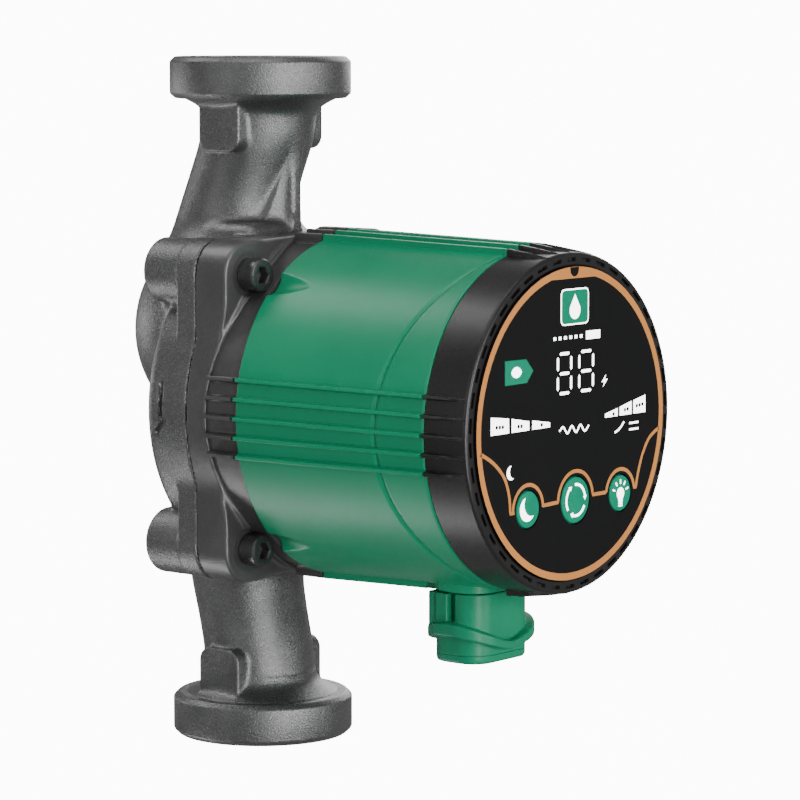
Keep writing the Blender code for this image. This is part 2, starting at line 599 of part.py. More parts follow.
# ---------------------------------------------------------------- controls
def make_panel_and_buttons():
    holes = [circle((r + 0.3) * MM, 20, (x * MM, z * MM)) for x, z, r in BUTTONS.values()]
    panel = prism("front_panel", [circle(PANEL_RADIUS, 52), *holes], PANEL_BACK, PANEL_FRONT)
    finish(panel, LABEL_BLACK)
    for name, (x, z, radius) in BUTTONS.items():
        r = radius * MM
        button = turned(name, [(0, 102.45 * MM), (r - 0.3 * MM, 102.45 * MM), (r, 102.2 * MM),
                               (r, 100.4 * MM), (r + 1.0 * MM, 100.4 * MM), (r + 1.0 * MM, 99.5 * MM),
                               (1.5 * MM, 99.5 * MM), (1.5 * MM, 97.4 * MM), (0, 97.4 * MM)],
                        20, location=(x * MM, 0, z * MM))
        finish(button, BUTTON_GREEN)


def make_electronics():
    board = rod("circuit_board", 38.8 * MM, (0, -BOARD_BACK, 0), (0, -BOARD_FRONT, 0), 36)
    finish(board, BOARD)
    for index, (x, z, _) in enumerate(BUTTONS.values()):
        low = (x * MM - 3 * MM, -96.2 * MM, z * MM - 3 * MM)
        switch = box(f"tact_switch_{index + 1}", low, (x * MM + 3 * MM, -92.9 * MM, z * MM + 3 * MM))
        join(switch, rod("plunger", 1.7 * MM, (x * MM, -95 * MM, z * MM),
                         (x * MM, -96.6 * MM, z * MM), 16))
        finish(switch, COMPONENT)
    display = box("led_display", (-9 * MM, -100.4 * MM, 5.5 * MM), (11 * MM, -92.9 * MM, 20 * MM))
    finish(display, COMPONENT)
    for index, x in enumerate((-22 * MM, -10.5 * MM)):
        capacitor = turned(f"filter_capacitor_{index + 1}",
                           [(0, 90.7 * MM), (4.6 * MM, 90.7 * MM), (5.0 * MM, 90.3 * MM),
                            (5.0 * MM, 88.4 * MM), (4.6 * MM, 88.0 * MM), (5.0 * MM, 87.6 * MM),
                            (5.0 * MM, 74.4 * MM), (4.6 * MM, 74.0 * MM), (0, 74.0 * MM)],
                           16, location=(x, 0, 23 * MM))
        finish(capacitor, COMPONENT)
    choke = ring("choke_coil", 4.0 * MM, 9.5 * MM, 79.5 * MM, 90.0 * MM, COPPER, 28)
    choke.location += Vector((16 * MM, 0, 20 * MM))
    comb = [(-16 * MM, -3 * MM), (16 * MM, -3 * MM)]
    for index in range(8):
        left = 16 * MM - index * 32 / 7.5 * MM
        comb += [(left, 10 * MM), (left - 2.1 * MM, 10 * MM)]
        if index < 7:
            comb += [(left - 2.1 * MM, 0), (left - 32 / 7.5 * MM, 0)]
    comb[-1] = (-16 * MM, 10 * MM)
    sink = prism("heat_sink", [comb], 76.0 * MM, 90.7 * MM, location=(0, 0, -12 * MM))
    finish(sink, ALUMINIUM)


def pin_places():
    return [(index - 1) * PIN_PITCH for index in range(3)]


def make_socket_and_plug():
    """Three-pin mains inlet in the shell skirt, and the connector that hangs under it."""
    socket = prism("mains_socket", [plug_outline(1.9 * MM)], SKIRT_BOTTOM + 0.4 * MM, -35.0 * MM,
                   rotation=(0, 0, 0))
    cut(socket, prism("socket_well", [plug_outline(3.6 * MM)], -50 * MM, -38.0 * MM,
                      rotation=(0, 0, 0)),
        *[rod("pin_way", 1.4 * MM, (x, -PLUG_MIDDLE, -50 * MM), (x, -PLUG_MIDDLE, -30 * MM), 12)
          for x in pin_places()])
    finish(socket, BLACK_PLASTIC)

    body = prism("plug_body", [plug_outline()], PLUG_COVER_TOP + GAP, PLUG_TOP, rotation=(0, 0, 0))
    recesses, rails = [], []
    for side in (-1, 1):
        inner, rail, outer = 10.3 * MM * side, 12.8 * MM * side, 15 * MM * side
        recesses.append(box("plug_recess", (min(inner, outer), -74.6 * MM, -53.3 * MM),
                            (max(inner, outer), -60 * MM, -40 * MM)))
        rails.append(box("plug_rail", (min(9 * MM * side, rail), -72.5 * MM, -54.0 * MM),
                         (max(9 * MM * side, rail), -69.3 * MM, PLUG_TOP - 0.05 * MM)))
    cut(body, *recesses)
    join(body, *rails, wavy_collar(),
         prism("plug_nose", [plug_outline(3.9 * MM)], -47 * MM, -38.4 * MM, rotation=(0, 0, 0)))
    room = rounded_rectangle((-8.6 * MM, -PLUG_MIDDLE - 6.3 * MM), (8.6 * MM, -PLUG_MIDDLE + 6.3 * MM),
                             3.5 * MM)
    cut(body, prism("terminal_room", [room], -70 * MM, -52.0 * MM, rotation=(0, 0, 0)),
        *[rod("contact_way", 2.1 * MM, (x, -PLUG_MIDDLE, -60 * MM), (x, -PLUG_MIDDLE, -30 * MM), 12)
          for x in pin_places()])
    finish(body, GREEN_PLASTIC)

    cover = prism("plug_cover", [plug_outline(), circle(4.9 * MM, 20, (0, -PLUG_MIDDLE))],
                  PLUG_BOTTOM, PLUG_COVER_TOP, rotation=(0, 0, 0))
    finish(cover, GREEN_PLASTIC)
    grommet = turned("cable_grommet", [(6.0 * MM, -58.4 * MM), (6.0 * MM, -59.7 * MM),
                                       (4.6 * MM, -59.7 * MM), (4.6 * MM, PLUG_BOTTOM + 0.2 * MM),
                                       (3.4 * MM, PLUG_BOTTOM + 0.2 * MM), (3.4 * MM, -58.4 * MM)],
                     20, rotation=(0, 0, 0), location=(0, -PLUG_MIDDLE, 0))
    finish(grommet, RUBBER)
    for index, x in enumerate(pin_places()):
        pin = turned(f"contact_pin_{index + 1}",
                     [(0, -33.5 * MM), (1.1 * MM, -33.5 * MM), (1.1 * MM, -46.5 * MM),
                      (0.6 * MM, -47.4 * MM), (0, -47.4 * MM)],
                     12, rotation=(0, 0, 0), location=(x, -PLUG_MIDDLE, 0))
        finish(pin, BRASS)
        contact = turned(f"plug_contact_{index + 1}",
                         [(0, -48.0 * MM), (1.4 * MM, -48.0 * MM), (1.4 * MM, -39.0 * MM),
                          (1.8 * MM, -39.0 * MM), (1.8 * MM, -54.0 * MM), (0, -54.0 * MM)],
                         12, rotation=(0, 0, 0), location=(x, -PLUG_MIDDLE, 0))
        finish(contact, BRASS)


def wavy_collar():
    """Finger grip round the plug: an oval band that dips at the front and back."""
    outer = rounded_rectangle((-COLLAR_HALF_WIDTH, -COLLAR_FRONT), (COLLAR_HALF_WIDTH, -COLLAR_BACK),
                              PLUG_COLLAR_CORNER, 6)
    middle = Vector((0, -(COLLAR_FRONT + COLLAR_BACK) / 2))
    shape = bmesh.new()
    loops = []
    for x, y in outer:
        offset = Vector((x, y)) - middle
        around = math.atan2(offset.x, -offset.y)
        top = (-53.8 - 2.6 * math.cos(2 * around)) * MM
        inner = middle + offset * 0.66
        loops.append([shape.verts.new((*place, z)) for place, z in
                      (((x, y), top), ((x, y), top - 3.0 * MM),
                       (inner, top - 3.4 * MM), (inner, top))])
    for here, ahead in zip(loops, loops[1:] + loops[:1]):
        for side in range(4):
            along = (side + 1) % 4
            shape.faces.new((here[side], here[along], ahead[along], ahead[side]))
    bmesh.ops.recalc_face_normals(shape, faces=shape.faces)
    return from_bmesh("plug_collar", shape)


make_pump_housing()
make_impeller()
make_rotor()
make_wet_end_fixtures()
make_motor_flange()
make_screws()
make_stator()
make_shell()
make_control_cap()
make_panel_and_buttons()
make_electronics()
make_socket_and_plug()
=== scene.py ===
"""Looks of the inline circulator pump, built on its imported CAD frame.

Frame: the pipe axis is Z, the motor axis is Y and the display looks along -Y. Shapes are worked
out in millimetres and stored in metres. "forward" is the distance towards the display, -y.
"""
import math

import bpy
import numpy as np
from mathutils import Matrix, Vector


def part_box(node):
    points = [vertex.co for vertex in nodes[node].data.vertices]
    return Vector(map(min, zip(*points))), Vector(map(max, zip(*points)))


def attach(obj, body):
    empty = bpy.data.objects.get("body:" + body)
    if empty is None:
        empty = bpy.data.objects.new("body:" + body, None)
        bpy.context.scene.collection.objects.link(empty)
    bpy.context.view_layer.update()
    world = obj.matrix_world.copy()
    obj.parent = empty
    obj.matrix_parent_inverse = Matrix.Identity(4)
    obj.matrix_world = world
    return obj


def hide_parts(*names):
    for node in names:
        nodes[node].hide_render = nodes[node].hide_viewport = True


MM = 0.001
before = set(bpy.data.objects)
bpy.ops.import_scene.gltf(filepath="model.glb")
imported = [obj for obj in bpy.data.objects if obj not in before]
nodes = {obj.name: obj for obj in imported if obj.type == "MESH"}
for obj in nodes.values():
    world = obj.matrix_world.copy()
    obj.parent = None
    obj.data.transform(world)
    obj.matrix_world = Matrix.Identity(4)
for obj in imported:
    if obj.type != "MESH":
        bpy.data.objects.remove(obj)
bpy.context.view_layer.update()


def extent(node):
    """Lowest and highest corner of a CAD node, in millimetres."""
    low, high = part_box(node)
    return np.array(low) / MM, np.array(high) / MM


HALF_LENGTH = extent("pump_housing")[1][2]
FLANGE_BACK = -extent("motor_flange")[1][1]
JOINT = FLANGE_BACK - 0.1                        # forward side of the housing
SHELL_FRONT = -extent("stator_shell")[0][1]
SHELL_BACK = -extent("stator_shell")[1][1]
CAP_FRONT = -extent("control_cap")[0][1]
PANEL_FRONT = -extent("front_panel")[0][1]
PANEL_RADIUS = extent("front_panel")[1][0]
PLUG_LOW, PLUG_HIGH = extent("plug_body")
COVER_LOW = extent("plug_cover")[0]

GAP = 0.3                                        # between pieces that touch
COLLAR_RADIUS, COLLAR_HEIGHT, BORE = 23.9, 11.0, 12.5
BOLT_X, BOLT_Z = 31.3, 35.2
LOBE = (40.0, 43.9, 8.7)                         # half width, half height, corner radius
RIM = 44.0
BARREL = 43.3
SHELL_BACK_RADIUS, SHELL_FRONT_RADIUS, SHELL_BORE = 44.3, 42.85, 41.2
CAP_BACK, CAP_RADIUS = SHELL_FRONT + GAP, 42.5
RIB_PITCH, RIB_HEIGHT = math.radians(6.2), 1.5
PLUG_MIDDLE, PLUG_TOP, SKIRT_BOTTOM = 73.75, -44.0, -43.7
BUTTONS = {"night": (-18.3, -19.5, 4.6), "mode": (1.3, -19.2, 5.85), "light": (20.4, -19.4, 4.6)}


# ---------------------------------------------------------------- meshes
def mesh_piece(name, points, faces, look, body="pump", sharp=38):
    """Piece from points in millimetres and faces of equal length, facing outwards."""
    points, faces = np.asarray(points, float), np.asarray(faces, np.int32)
    corners = points[faces]
    volume = sum(np.einsum("ij,ij->i", corners[:, 0], np.cross(corners[:, k], corners[:, k + 1])).sum()
                 for k in range(1, faces.shape[1] - 1))
    if volume < 0:
        faces = faces[:, ::-1]
    mesh = bpy.data.meshes.new(name)
    mesh.vertices.add(len(points))
    mesh.vertices.foreach_set("co", (points * MM).astype(np.float32).ravel())
    mesh.loops.add(faces.size)
    mesh.loops.foreach_set("vertex_index", np.ascontiguousarray(faces).ravel())
    mesh.polygons.add(len(faces))
    mesh.polygons.foreach_set("loop_start", np.arange(0, faces.size, faces.shape[1], dtype=np.int32))
    mesh.update(calc_edges=True)
    return placed(name, mesh, look, body, sharp)


def placed(name, mesh, look, body, sharp=38):
    mesh.materials.clear()
    mesh.materials.append(look)
    mesh.shade_smooth()
    mesh.set_sharp_from_angle(angle=math.radians(sharp))
    piece = bpy.data.objects.new(name, mesh)
    bpy.context.scene.collection.objects.link(piece)
    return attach(piece, body)


def grid_faces(rows, columns, closed_rows=True, closed_columns=True):
    """Quads over a grid of points, wrapped round in either direction."""
    r, c = np.meshgrid(np.arange(rows if closed_rows else rows - 1),
                       np.arange(columns if closed_columns else columns - 1), indexing="ij")
    ahead, right = (r + 1) % rows, (c + 1) % columns
    return np.stack([r * columns + c, ahead * columns + c, ahead * columns + right,
                     r * columns + right], -1).reshape(-1, 4)


def revolved(name, radius, forward, angles, look, body="pump", sharp=38, centre=(0, 0), keep=None):
    """Closed ring about the Y direction, from grids of radius and forward distance."""
    radius, forward, angles = np.broadcast_arrays(radius, forward, angles)
    points = np.stack([centre[0] + radius * np.cos(angles), -forward,
                       centre[1] + radius * np.sin(angles)], -1).reshape(-1, 3)
    faces = grid_faces(*radius.shape)
    if keep is not None:
        faces = faces[keep(points[faces].mean(1))]
    return mesh_piece(name, points, faces, look, body, sharp)


def lathe(name, profile, look, axis="y", segments=128, body="pump", centre=(0, 0, 0), sharp=38):
    """Closed ring or solid from a profile of (radius, height) pairs about one axis through centre."""
    profile = np.array(profile, float)
    angles = np.linspace(0, 2 * math.pi, segments, endpoint=False)
    radius, height = profile[:, :1], profile[:, 1:]
    across, up = radius * np.cos(angles), radius * np.sin(angles)
    height = np.broadcast_to(height, across.shape)
    order = (across, -height, up) if axis == "y" else (across, up, height)
    points = np.stack(order, -1).reshape(-1, 3) + np.array(centre)
    return mesh_piece(name, points, grid_faces(len(profile), segments), look, body, sharp)


def rounded(profile, radius, steps=4):
    """Profile with its corners rounded, as a closed loop; a corner is left sharp if radius is 0."""
    profile = [np.array(p, float) for p in profile]
    radii = [radius] * len(profile) if np.isscalar(radius) else radius
    out = []
    for index, corner in enumerate(profile):
        before = profile[index - 1] - corner
        after = profile[(index + 1) % len(profile)] - corner
        size = min(radii[index], 0.45 * np.linalg.norm(before), 0.45 * np.linalg.norm(after))
        if size <= 0:
            out.append(corner)
            continue
        start = corner + before / np.linalg.norm(before) * size
        end = corner + after / np.linalg.norm(after) * size
        for step in range(steps + 1):
            t = step / steps
            out.append((1 - t) ** 2 * start + 2 * t * (1 - t) * corner + t ** 2 * end)
    return np.array(out)


# ---------------------------------------------------------------- distance fields
def smooth_min(a, b, k):
    h = np.clip(0.5 + 0.5 * (b - a) / k, 0, 1)
    return b + (a - b) * h - k * h * (1 - h)


def smooth_max(a, b, k):
    return -smooth_min(-a, -b, k)


def slab(outline, position, low, high, edge=0.5):
    """Flat outline distance, extruded from low to high with rounded edges."""
    a = outline + edge
    b = np.abs(position - 0.5 * (low + high)) - 0.5 * (high - low) + edge
    return np.minimum(np.maximum(a, b), 0) + np.hypot(np.maximum(a, 0), np.maximum(b, 0)) - edge


def rectangle(u, v, half_u, half_v, corner):
    qu, qv = np.abs(u) - half_u + corner, np.abs(v) - half_v + corner
    return np.hypot(np.maximum(qu, 0), np.maximum(qv, 0)) + np.minimum(np.maximum(qu, qv), 0) - corner


def block(x, y, z, low, high, edge):
    low, high = np.array(low, float), np.array(high, float)
    middle, half = (low + high) / 2, (high - low) / 2
    return slab(rectangle(x - middle[0], z - middle[2], half[0], half[2], edge), y,
                low[1], high[1], edge)


def pipe(x, y, z, rows, smoothing=5.0):
    """Pipe whose centre y and radius follow height, from rows of (y, z, radius)."""
    rows = np.array(sorted(rows, key=lambda row: row[1]), float)
    heights = np.arange(rows[0, 1], rows[-1, 1] + 0.01, 0.5)
    window = np.hanning(int(smoothing / 0.5) * 2 + 3)[1:-1]
    window /= window.sum()
    pad = len(window) // 2
    tables = []
    for column in (0, 2):
        table = np.interp(heights, rows[:, 1], rows[:, column])
        padded = np.pad(table, pad, mode="reflect", reflect_type="odd")
        tables.append(np.convolve(padded, window, "valid"))
    centre, radius = (np.interp(z, heights, table) for table in tables)
    side = (np.hypot(x, y - centre) - radius) * 0.95
    return np.maximum(side, np.maximum(rows[0, 1] - z, z - rows[-1, 1]))


def ellipsoid(x, y, z, radii):
    near = np.sqrt(sum((v / r) ** 2 for v, r in zip((x, y, z), radii)))
    steep = np.sqrt(sum((v / r ** 2) ** 2 for v, r in zip((x, y, z), radii)))
    return near * (near - 1) / np.maximum(steep, 1e-6)


def lobe_outline(x, z):
    """Rounded square of the joint, cast a little lower at its top right lobe."""
    drop = 0.8 * np.clip((x - 8.0) / 12.0, 0, 1) * (z > 0)
    return rectangle(x, z + drop, *LOBE)


def surface_net(field, low, high, step, relax=2):
    """Quad mesh of the zero surface of field(x, y, z), as points and faces."""
    low = np.array(low, float)
    counts = [int(math.ceil((h - l) / step)) + 1 for l, h in zip(low, high)]
    axes = [low[i] + step * np.arange(counts[i]) for i in range(3)]
    value = field(axes[0][:, None, None], axes[1][None, :, None], axes[2][None, None, :])
    value = np.broadcast_to(value, counts)
    inside = value < 0
    corner_sum = sum(inside[i:counts[0] - 1 + i, j:counts[1] - 1 + j, k:counts[2] - 1 + k].astype(np.int8)
                     for i in (0, 1) for j in (0, 1) for k in (0, 1))
    cells = np.argwhere((corner_sum > 0) & (corner_sum < 8))
    total, hits = np.zeros((len(cells), 3)), np.zeros(len(cells))
    for axis in range(3):
        others = [a for a in range(3) if a != axis]
        for first in (0, 1):
            for second in (0, 1):
                start = cells.copy()
                start[:, others[0]] += first
                start[:, others[1]] += second
                end = start.copy()
                end[:, axis] += 1
                a, b = value[tuple(start.T)], value[tuple(end.T)]
                crossing = (a < 0) != (b < 0)
                share = np.where(crossing, a / np.where(crossing, a - b, 1), 0)
                place = start.astype(float)
                place[:, axis] += share
                total += place * crossing[:, None]
                hits += crossing
    points = low + step * total / hits[:, None]
    index = -np.ones([c - 1 for c in counts], np.int64)
    index[tuple(cells.T)] = np.arange(len(cells))
    faces = []
    for axis in range(3):
        u, v = [a for a in range(3) if a != axis]
        ahead = np.take(inside, range(1, counts[axis]), axis)
        behind = np.take(inside, range(counts[axis] - 1), axis)
        edges = np.argwhere(ahead != behind)
        edges = edges[(edges[:, u] > 0) & (edges[:, v] > 0)
                      & (edges[:, u] < counts[u] - 1) & (edges[:, v] < counts[v] - 1)]
        ring = []
        for du, dv in ((-1, -1), (0, -1), (0, 0), (-1, 0)):
            cell = edges.copy()
            cell[:, u] += du
            cell[:, v] += dv
            ring.append(index[tuple(cell.T)])
        ring = np.stack(ring, -1)
        flip = behind[tuple(edges.T)] == (axis == 1)
        ring[flip] = ring[flip][:, ::-1]
        faces.append(ring)
    faces = np.concatenate(faces)
    for _ in range(relax):
        points = settled(points, faces, field, step)
    return points, faces


def settled(points, faces, field, step):
    """Points moved part of the way to their neighbours' middle, then back on to the surface."""
    sums, counts = np.zeros_like(points), np.zeros(len(points))
    for a, b in ((0, 1), (1, 2), (2, 3), (3, 0)):
        for here, there in ((a, b), (b, a)):
            np.add.at(sums, faces[:, here], points[faces[:, there]])
            np.add.at(counts, faces[:, here], 1)
    points = points + 0.5 * (sums / np.maximum(counts, 1)[:, None] - points)
    small = 0.02
    x, y, z = points.T
    here = field(x, y, z)
    slope = np.stack([field(x + small, y, z) - here, field(x, y + small, z) - here,
                      field(x, y, z + small) - here], -1) / small
    size = np.maximum((slope ** 2).sum(-1), 0.2)
    move = np.clip(-here / size, -0.5 * step, 0.5 * step)
    return points + slope * move[:, None]


def cast(name, field, low, high, step, look, body="pump", relax=2, machined=None):
    """Cast piece; machined is the y of a flat face whose edge is kept sharp."""
    points, faces = surface_net(field, low, high, step, relax)
    if machined is not None:
        near = (np.abs(points[:, 1] - machined) < 0.6 * step) & (np.abs(points[:, 2]) < 50)
        points[near, 1] = machined
    return mesh_piece(name, points, faces, look, body, sharp=50)


# ---------------------------------------------------------------- materials
def surface(name, colour, roughness, metallic=0.0, grain=0.3, bump=0.05, mottle=0.12,
            patch=12.0, speckle=0.0, specular=0.5, rough_spread=0.08, strength=0.6, glow=0.0,
            brushed=None):
    """Material with fine grain, slow colour drift and uneven gloss; sizes in millimetres.

    brushed is the stretch of the grain along x, y and z, for turned or drawn metal.
    """
    made = bpy.data.materials.new(name)
    made.use_nodes = True
    tree = made.node_tree
    shader = tree.nodes["Principled BSDF"]
    place = tree.nodes.new("ShaderNodeTexCoord")
    source = place.outputs["Object"]
    if brushed:
        stretch = tree.nodes.new("ShaderNodeMapping")
        stretch.inputs["Scale"].default_value = brushed
        tree.links.new(source, stretch.inputs["Vector"])
        source = stretch.outputs["Vector"]

    def noise(size_mm, detail, rough=0.55):
        node = tree.nodes.new("ShaderNodeTexNoise")
        node.inputs["Scale"].default_value = 1000.0 / size_mm
        node.inputs["Detail"].default_value = detail
        node.inputs["Roughness"].default_value = rough
        tree.links.new(source, node.inputs["Vector"])
        return node.outputs["Fac"]

    def ramp(value, low, high, to_low, to_high):
        node = tree.nodes.new("ShaderNodeMapRange")
        node.inputs["From Min"].default_value = low
        node.inputs["From Max"].default_value = high
        node.inputs["To Min"].default_value = to_low
        node.inputs["To Max"].default_value = to_high
        tree.links.new(value, node.inputs["Value"])
        return node.outputs["Result"]

    def mixed(factor, a, b):
        node = tree.nodes.new("ShaderNodeMix")
        node.data_type = "RGBA"
        tree.links.new(factor, node.inputs["Factor"])
        for socket, value in ((node.inputs["A"], a), (node.inputs["B"], b)):
            if isinstance(value, tuple):
                socket.default_value = (*value, 1.0)
            else:
                tree.links.new(value, socket)
        return node.outputs["Result"]

    fine, slow = noise(grain, 3.0, 0.65), noise(patch, 2.0)
    dark = tuple(c * (1 - mottle) for c in colour)
    light = tuple(min(1.0, c * (1 + mottle)) for c in colour)
    tint = mixed(ramp(slow, 0.35, 0.65, 0.0, 1.0), dark, light)
    if speckle:
        bright = tuple(min(1.0, c * (1 + speckle) + 0.02 * speckle) for c in colour)
        tint = mixed(ramp(fine, 0.52, 0.72, 0.0, 0.75), tint, bright)
    tree.links.new(tint, shader.inputs["Base Color"])
    tree.links.new(ramp(fine, 0.3, 0.7, max(0.03, roughness - rough_spread),
                        min(1.0, roughness + rough_spread)), shader.inputs["Roughness"])
    shader.inputs["Metallic"].default_value = metallic
    shader.inputs["Specular IOR Level"].default_value = specular
    shader.inputs["Emission Color"].default_value = (1.0, 1.0, 1.0, 1.0)
    shader.inputs["Emission Strength"].default_value = glow
    relief = tree.nodes.new("ShaderNodeBump")
    relief.inputs["Strength"].default_value = strength
    relief.inputs["Distance"].default_value = bump * MM
    tree.links.new(fine, relief.inputs["Height"])
    tree.links.new(relief.outputs["Normal"], shader.inputs["Normal"])
    made.diffuse_color = (*colour, 1.0)
    return made


CAST_IRON = surface("cast_iron_paint", (0.150, 0.150, 0.151), 0.31, 0.8, grain=0.42, bump=0.145,
                    mottle=0.12, speckle=0.5, strength=1.0)
FLANGE_PAINT = surface("flange_paint", (0.120, 0.117, 0.118), 0.37, 0.65, grain=0.46, bump=0.08,
                       mottle=0.1, speckle=0.2, strength=1.0)
GREEN = surface("shell_green", (0.006, 0.290, 0.138), 0.36, grain=0.5, bump=0.012, mottle=0.05,
                patch=25.0, specular=0.34)
PLUG_GREEN = surface("plug_green", (0.008, 0.235, 0.117), 0.38, grain=0.45, bump=0.012,
                     mottle=0.06, patch=9.0, specular=0.3)
BLACK = surface("cap_black", (0.012, 0.0112, 0.0112), 0.34, grain=0.35, bump=0.01, mottle=0.1)
FILM = surface("panel_film", (0.0060, 0.0060, 0.0063), 0.5, grain=0.6, bump=0.003, mottle=0.05,
               rough_spread=0.04, specular=0.15)
KEY_GREEN = surface("key_green", (0.003, 0.27, 0.145), 0.38, grain=0.3, bump=0.006, mottle=0.05,
                    patch=5.0, specular=0.2)
# white print ink with painted light: emission strength 5 makes it shine brighter than the lamps light it,
# though it is no lamp
WHITE_INK_PAINTED_GLOW = surface("white_ink_painted_glow", (0.92, 0.92, 0.92), 0.45, grain=0.2, bump=0.002, mottle=0.02, glow=5.0)
INK_GREEN = surface("ink_green", (0.003, 0.26, 0.138), 0.45, grain=0.2, bump=0.002, mottle=0.03,
                    specular=0.2)
INK_TAN = surface("ink_tan", (0.66, 0.262, 0.070), 0.45, grain=0.2, bump=0.002, mottle=0.03,
                  specular=0.2)
SCREW_BLACK = surface("screw_black", (0.10, 0.10, 0.102), 0.32, 0.85, grain=0.25, bump=0.02,
                      speckle=0.3)
INSIDE = {
    "stainless": surface("stainless", (0.56, 0.56, 0.57), 0.26, 1.0, grain=0.5, bump=0.01,
                         brushed=(1.0, 0.08, 1.0)),
    "ceramic": surface("ceramic", (0.78, 0.75, 0.68), 0.22, grain=0.4, bump=0.004, mottle=0.03),
    "carbon": surface("carbon", (0.03, 0.03, 0.032), 0.5, grain=0.3, bump=0.02),
    "magnet": surface("magnet", (0.06, 0.06, 0.066), 0.5, 0.4, grain=0.3, bump=0.03, speckle=0.3),
    "composite": surface("composite", (0.46, 0.43, 0.37), 0.55, grain=0.35, bump=0.02, speckle=0.2),
    "rubber": surface("rubber", (0.014, 0.014, 0.015), 0.75, grain=0.3, bump=0.03),
    "lamination": surface("lamination", (0.28, 0.29, 0.31), 0.4, 0.9, grain=0.5, bump=0.08,
                          brushed=(0.02, 1.0, 0.02)),
    "copper": surface("copper_wire", (0.66, 0.24, 0.09), 0.32, 0.9, grain=0.6, bump=0.15,
                      brushed=(1.0, 0.1, 1.0)),
    "board": surface("board", (0.02, 0.13, 0.05), 0.42, grain=0.8, bump=0.02, mottle=0.2),
    "component": surface("component", (0.04, 0.05, 0.08), 0.42, grain=0.3, bump=0.01),
    "brass": surface("brass", (0.68, 0.48, 0.18), 0.26, 1.0, grain=0.4, bump=0.01),
    "aluminium": surface("aluminium", (0.6, 0.6, 0.61), 0.34, 1.0, grain=0.5, bump=0.02,
                         brushed=(1.0, 0.05, 1.0)),
}
KEPT = {
    "stainless": ["wear_ring", "bearing_plate", "rotor_can", "rotor_sleeve", "impeller_clip"],
    "ceramic": ["shaft", "thrust_ring"],
    "carbon": ["front_bearing", "rear_bearing"],
    "magnet": ["rotor_magnet"],
    "composite": ["impeller", "impeller_shroud"],
    "rubber": ["can_gasket", "cap_gasket", "cable_grommet"],
    "lamination": ["stator_core"],
    "copper": ["choke_coil"] + [f"stator_coil_{i}" for i in range(1, 7)],
    "board": ["circuit_board"],
    "component": ["led_display", "filter_capacitor_1", "filter_capacitor_2"]
                 + [f"tact_switch_{i}" for i in (1, 2, 3)],
    "brass": [f"{kind}_{i}" for kind in ("contact_pin", "plug_contact") for i in (1, 2, 3)],
    "aluminium": ["heat_sink"],
}
for kind, names in KEPT.items():
    for kept in names:
        nodes[kept].data.materials.clear()
        nodes[kept].data.materials.append(INSIDE[kind])
nodes["mains_socket"].data.materials.clear()
nodes["mains_socket"].data.materials.append(BLACK)


# ---------------------------------------------------------------- pump housing
INLET_NECK = ((0.3, 82, 16.2), (0.6, 76, 15.1), (0.7, 71, 15.0), (2.0, 66, 15.0), (3.6, 62.5, 15.0),
              (5.0, 59, 15.0), (6.6, 55, 15.1), (8.0, 50.5, 15.5), (8.9, 45, 16.6), (8.8, 32, 19.0))
OUTLET_NECK = ((0.1, -82, 15.6), (0.8, -74, 14.6), (1.6, -66, 14.6), (3.4, -58, 14.6),
               (5.2, -50, 14.9), (5.6, -42, 15.6), (4.6, -33, 15.6), (2.0, -25, 15.0),
               (-3.0, -12, 12.0))
INLET_PASSAGE = ((0.0, 92, 12.5), (0.3, 80, 12.2), (1.1, 69, 11.6), (5.6, 57.5, 11.6),
                 (8.8, 46, 12.6), (9.4, 26, 13.5))
OUTLET_PASSAGE = ((-1.2, -31, 8.0), (3.2, -42, 10.0), (4.4, -53, 11.0), (1.7, -66, 11.4),
                  (0.2, -80, 12.2), (0.0, -92, 12.5))


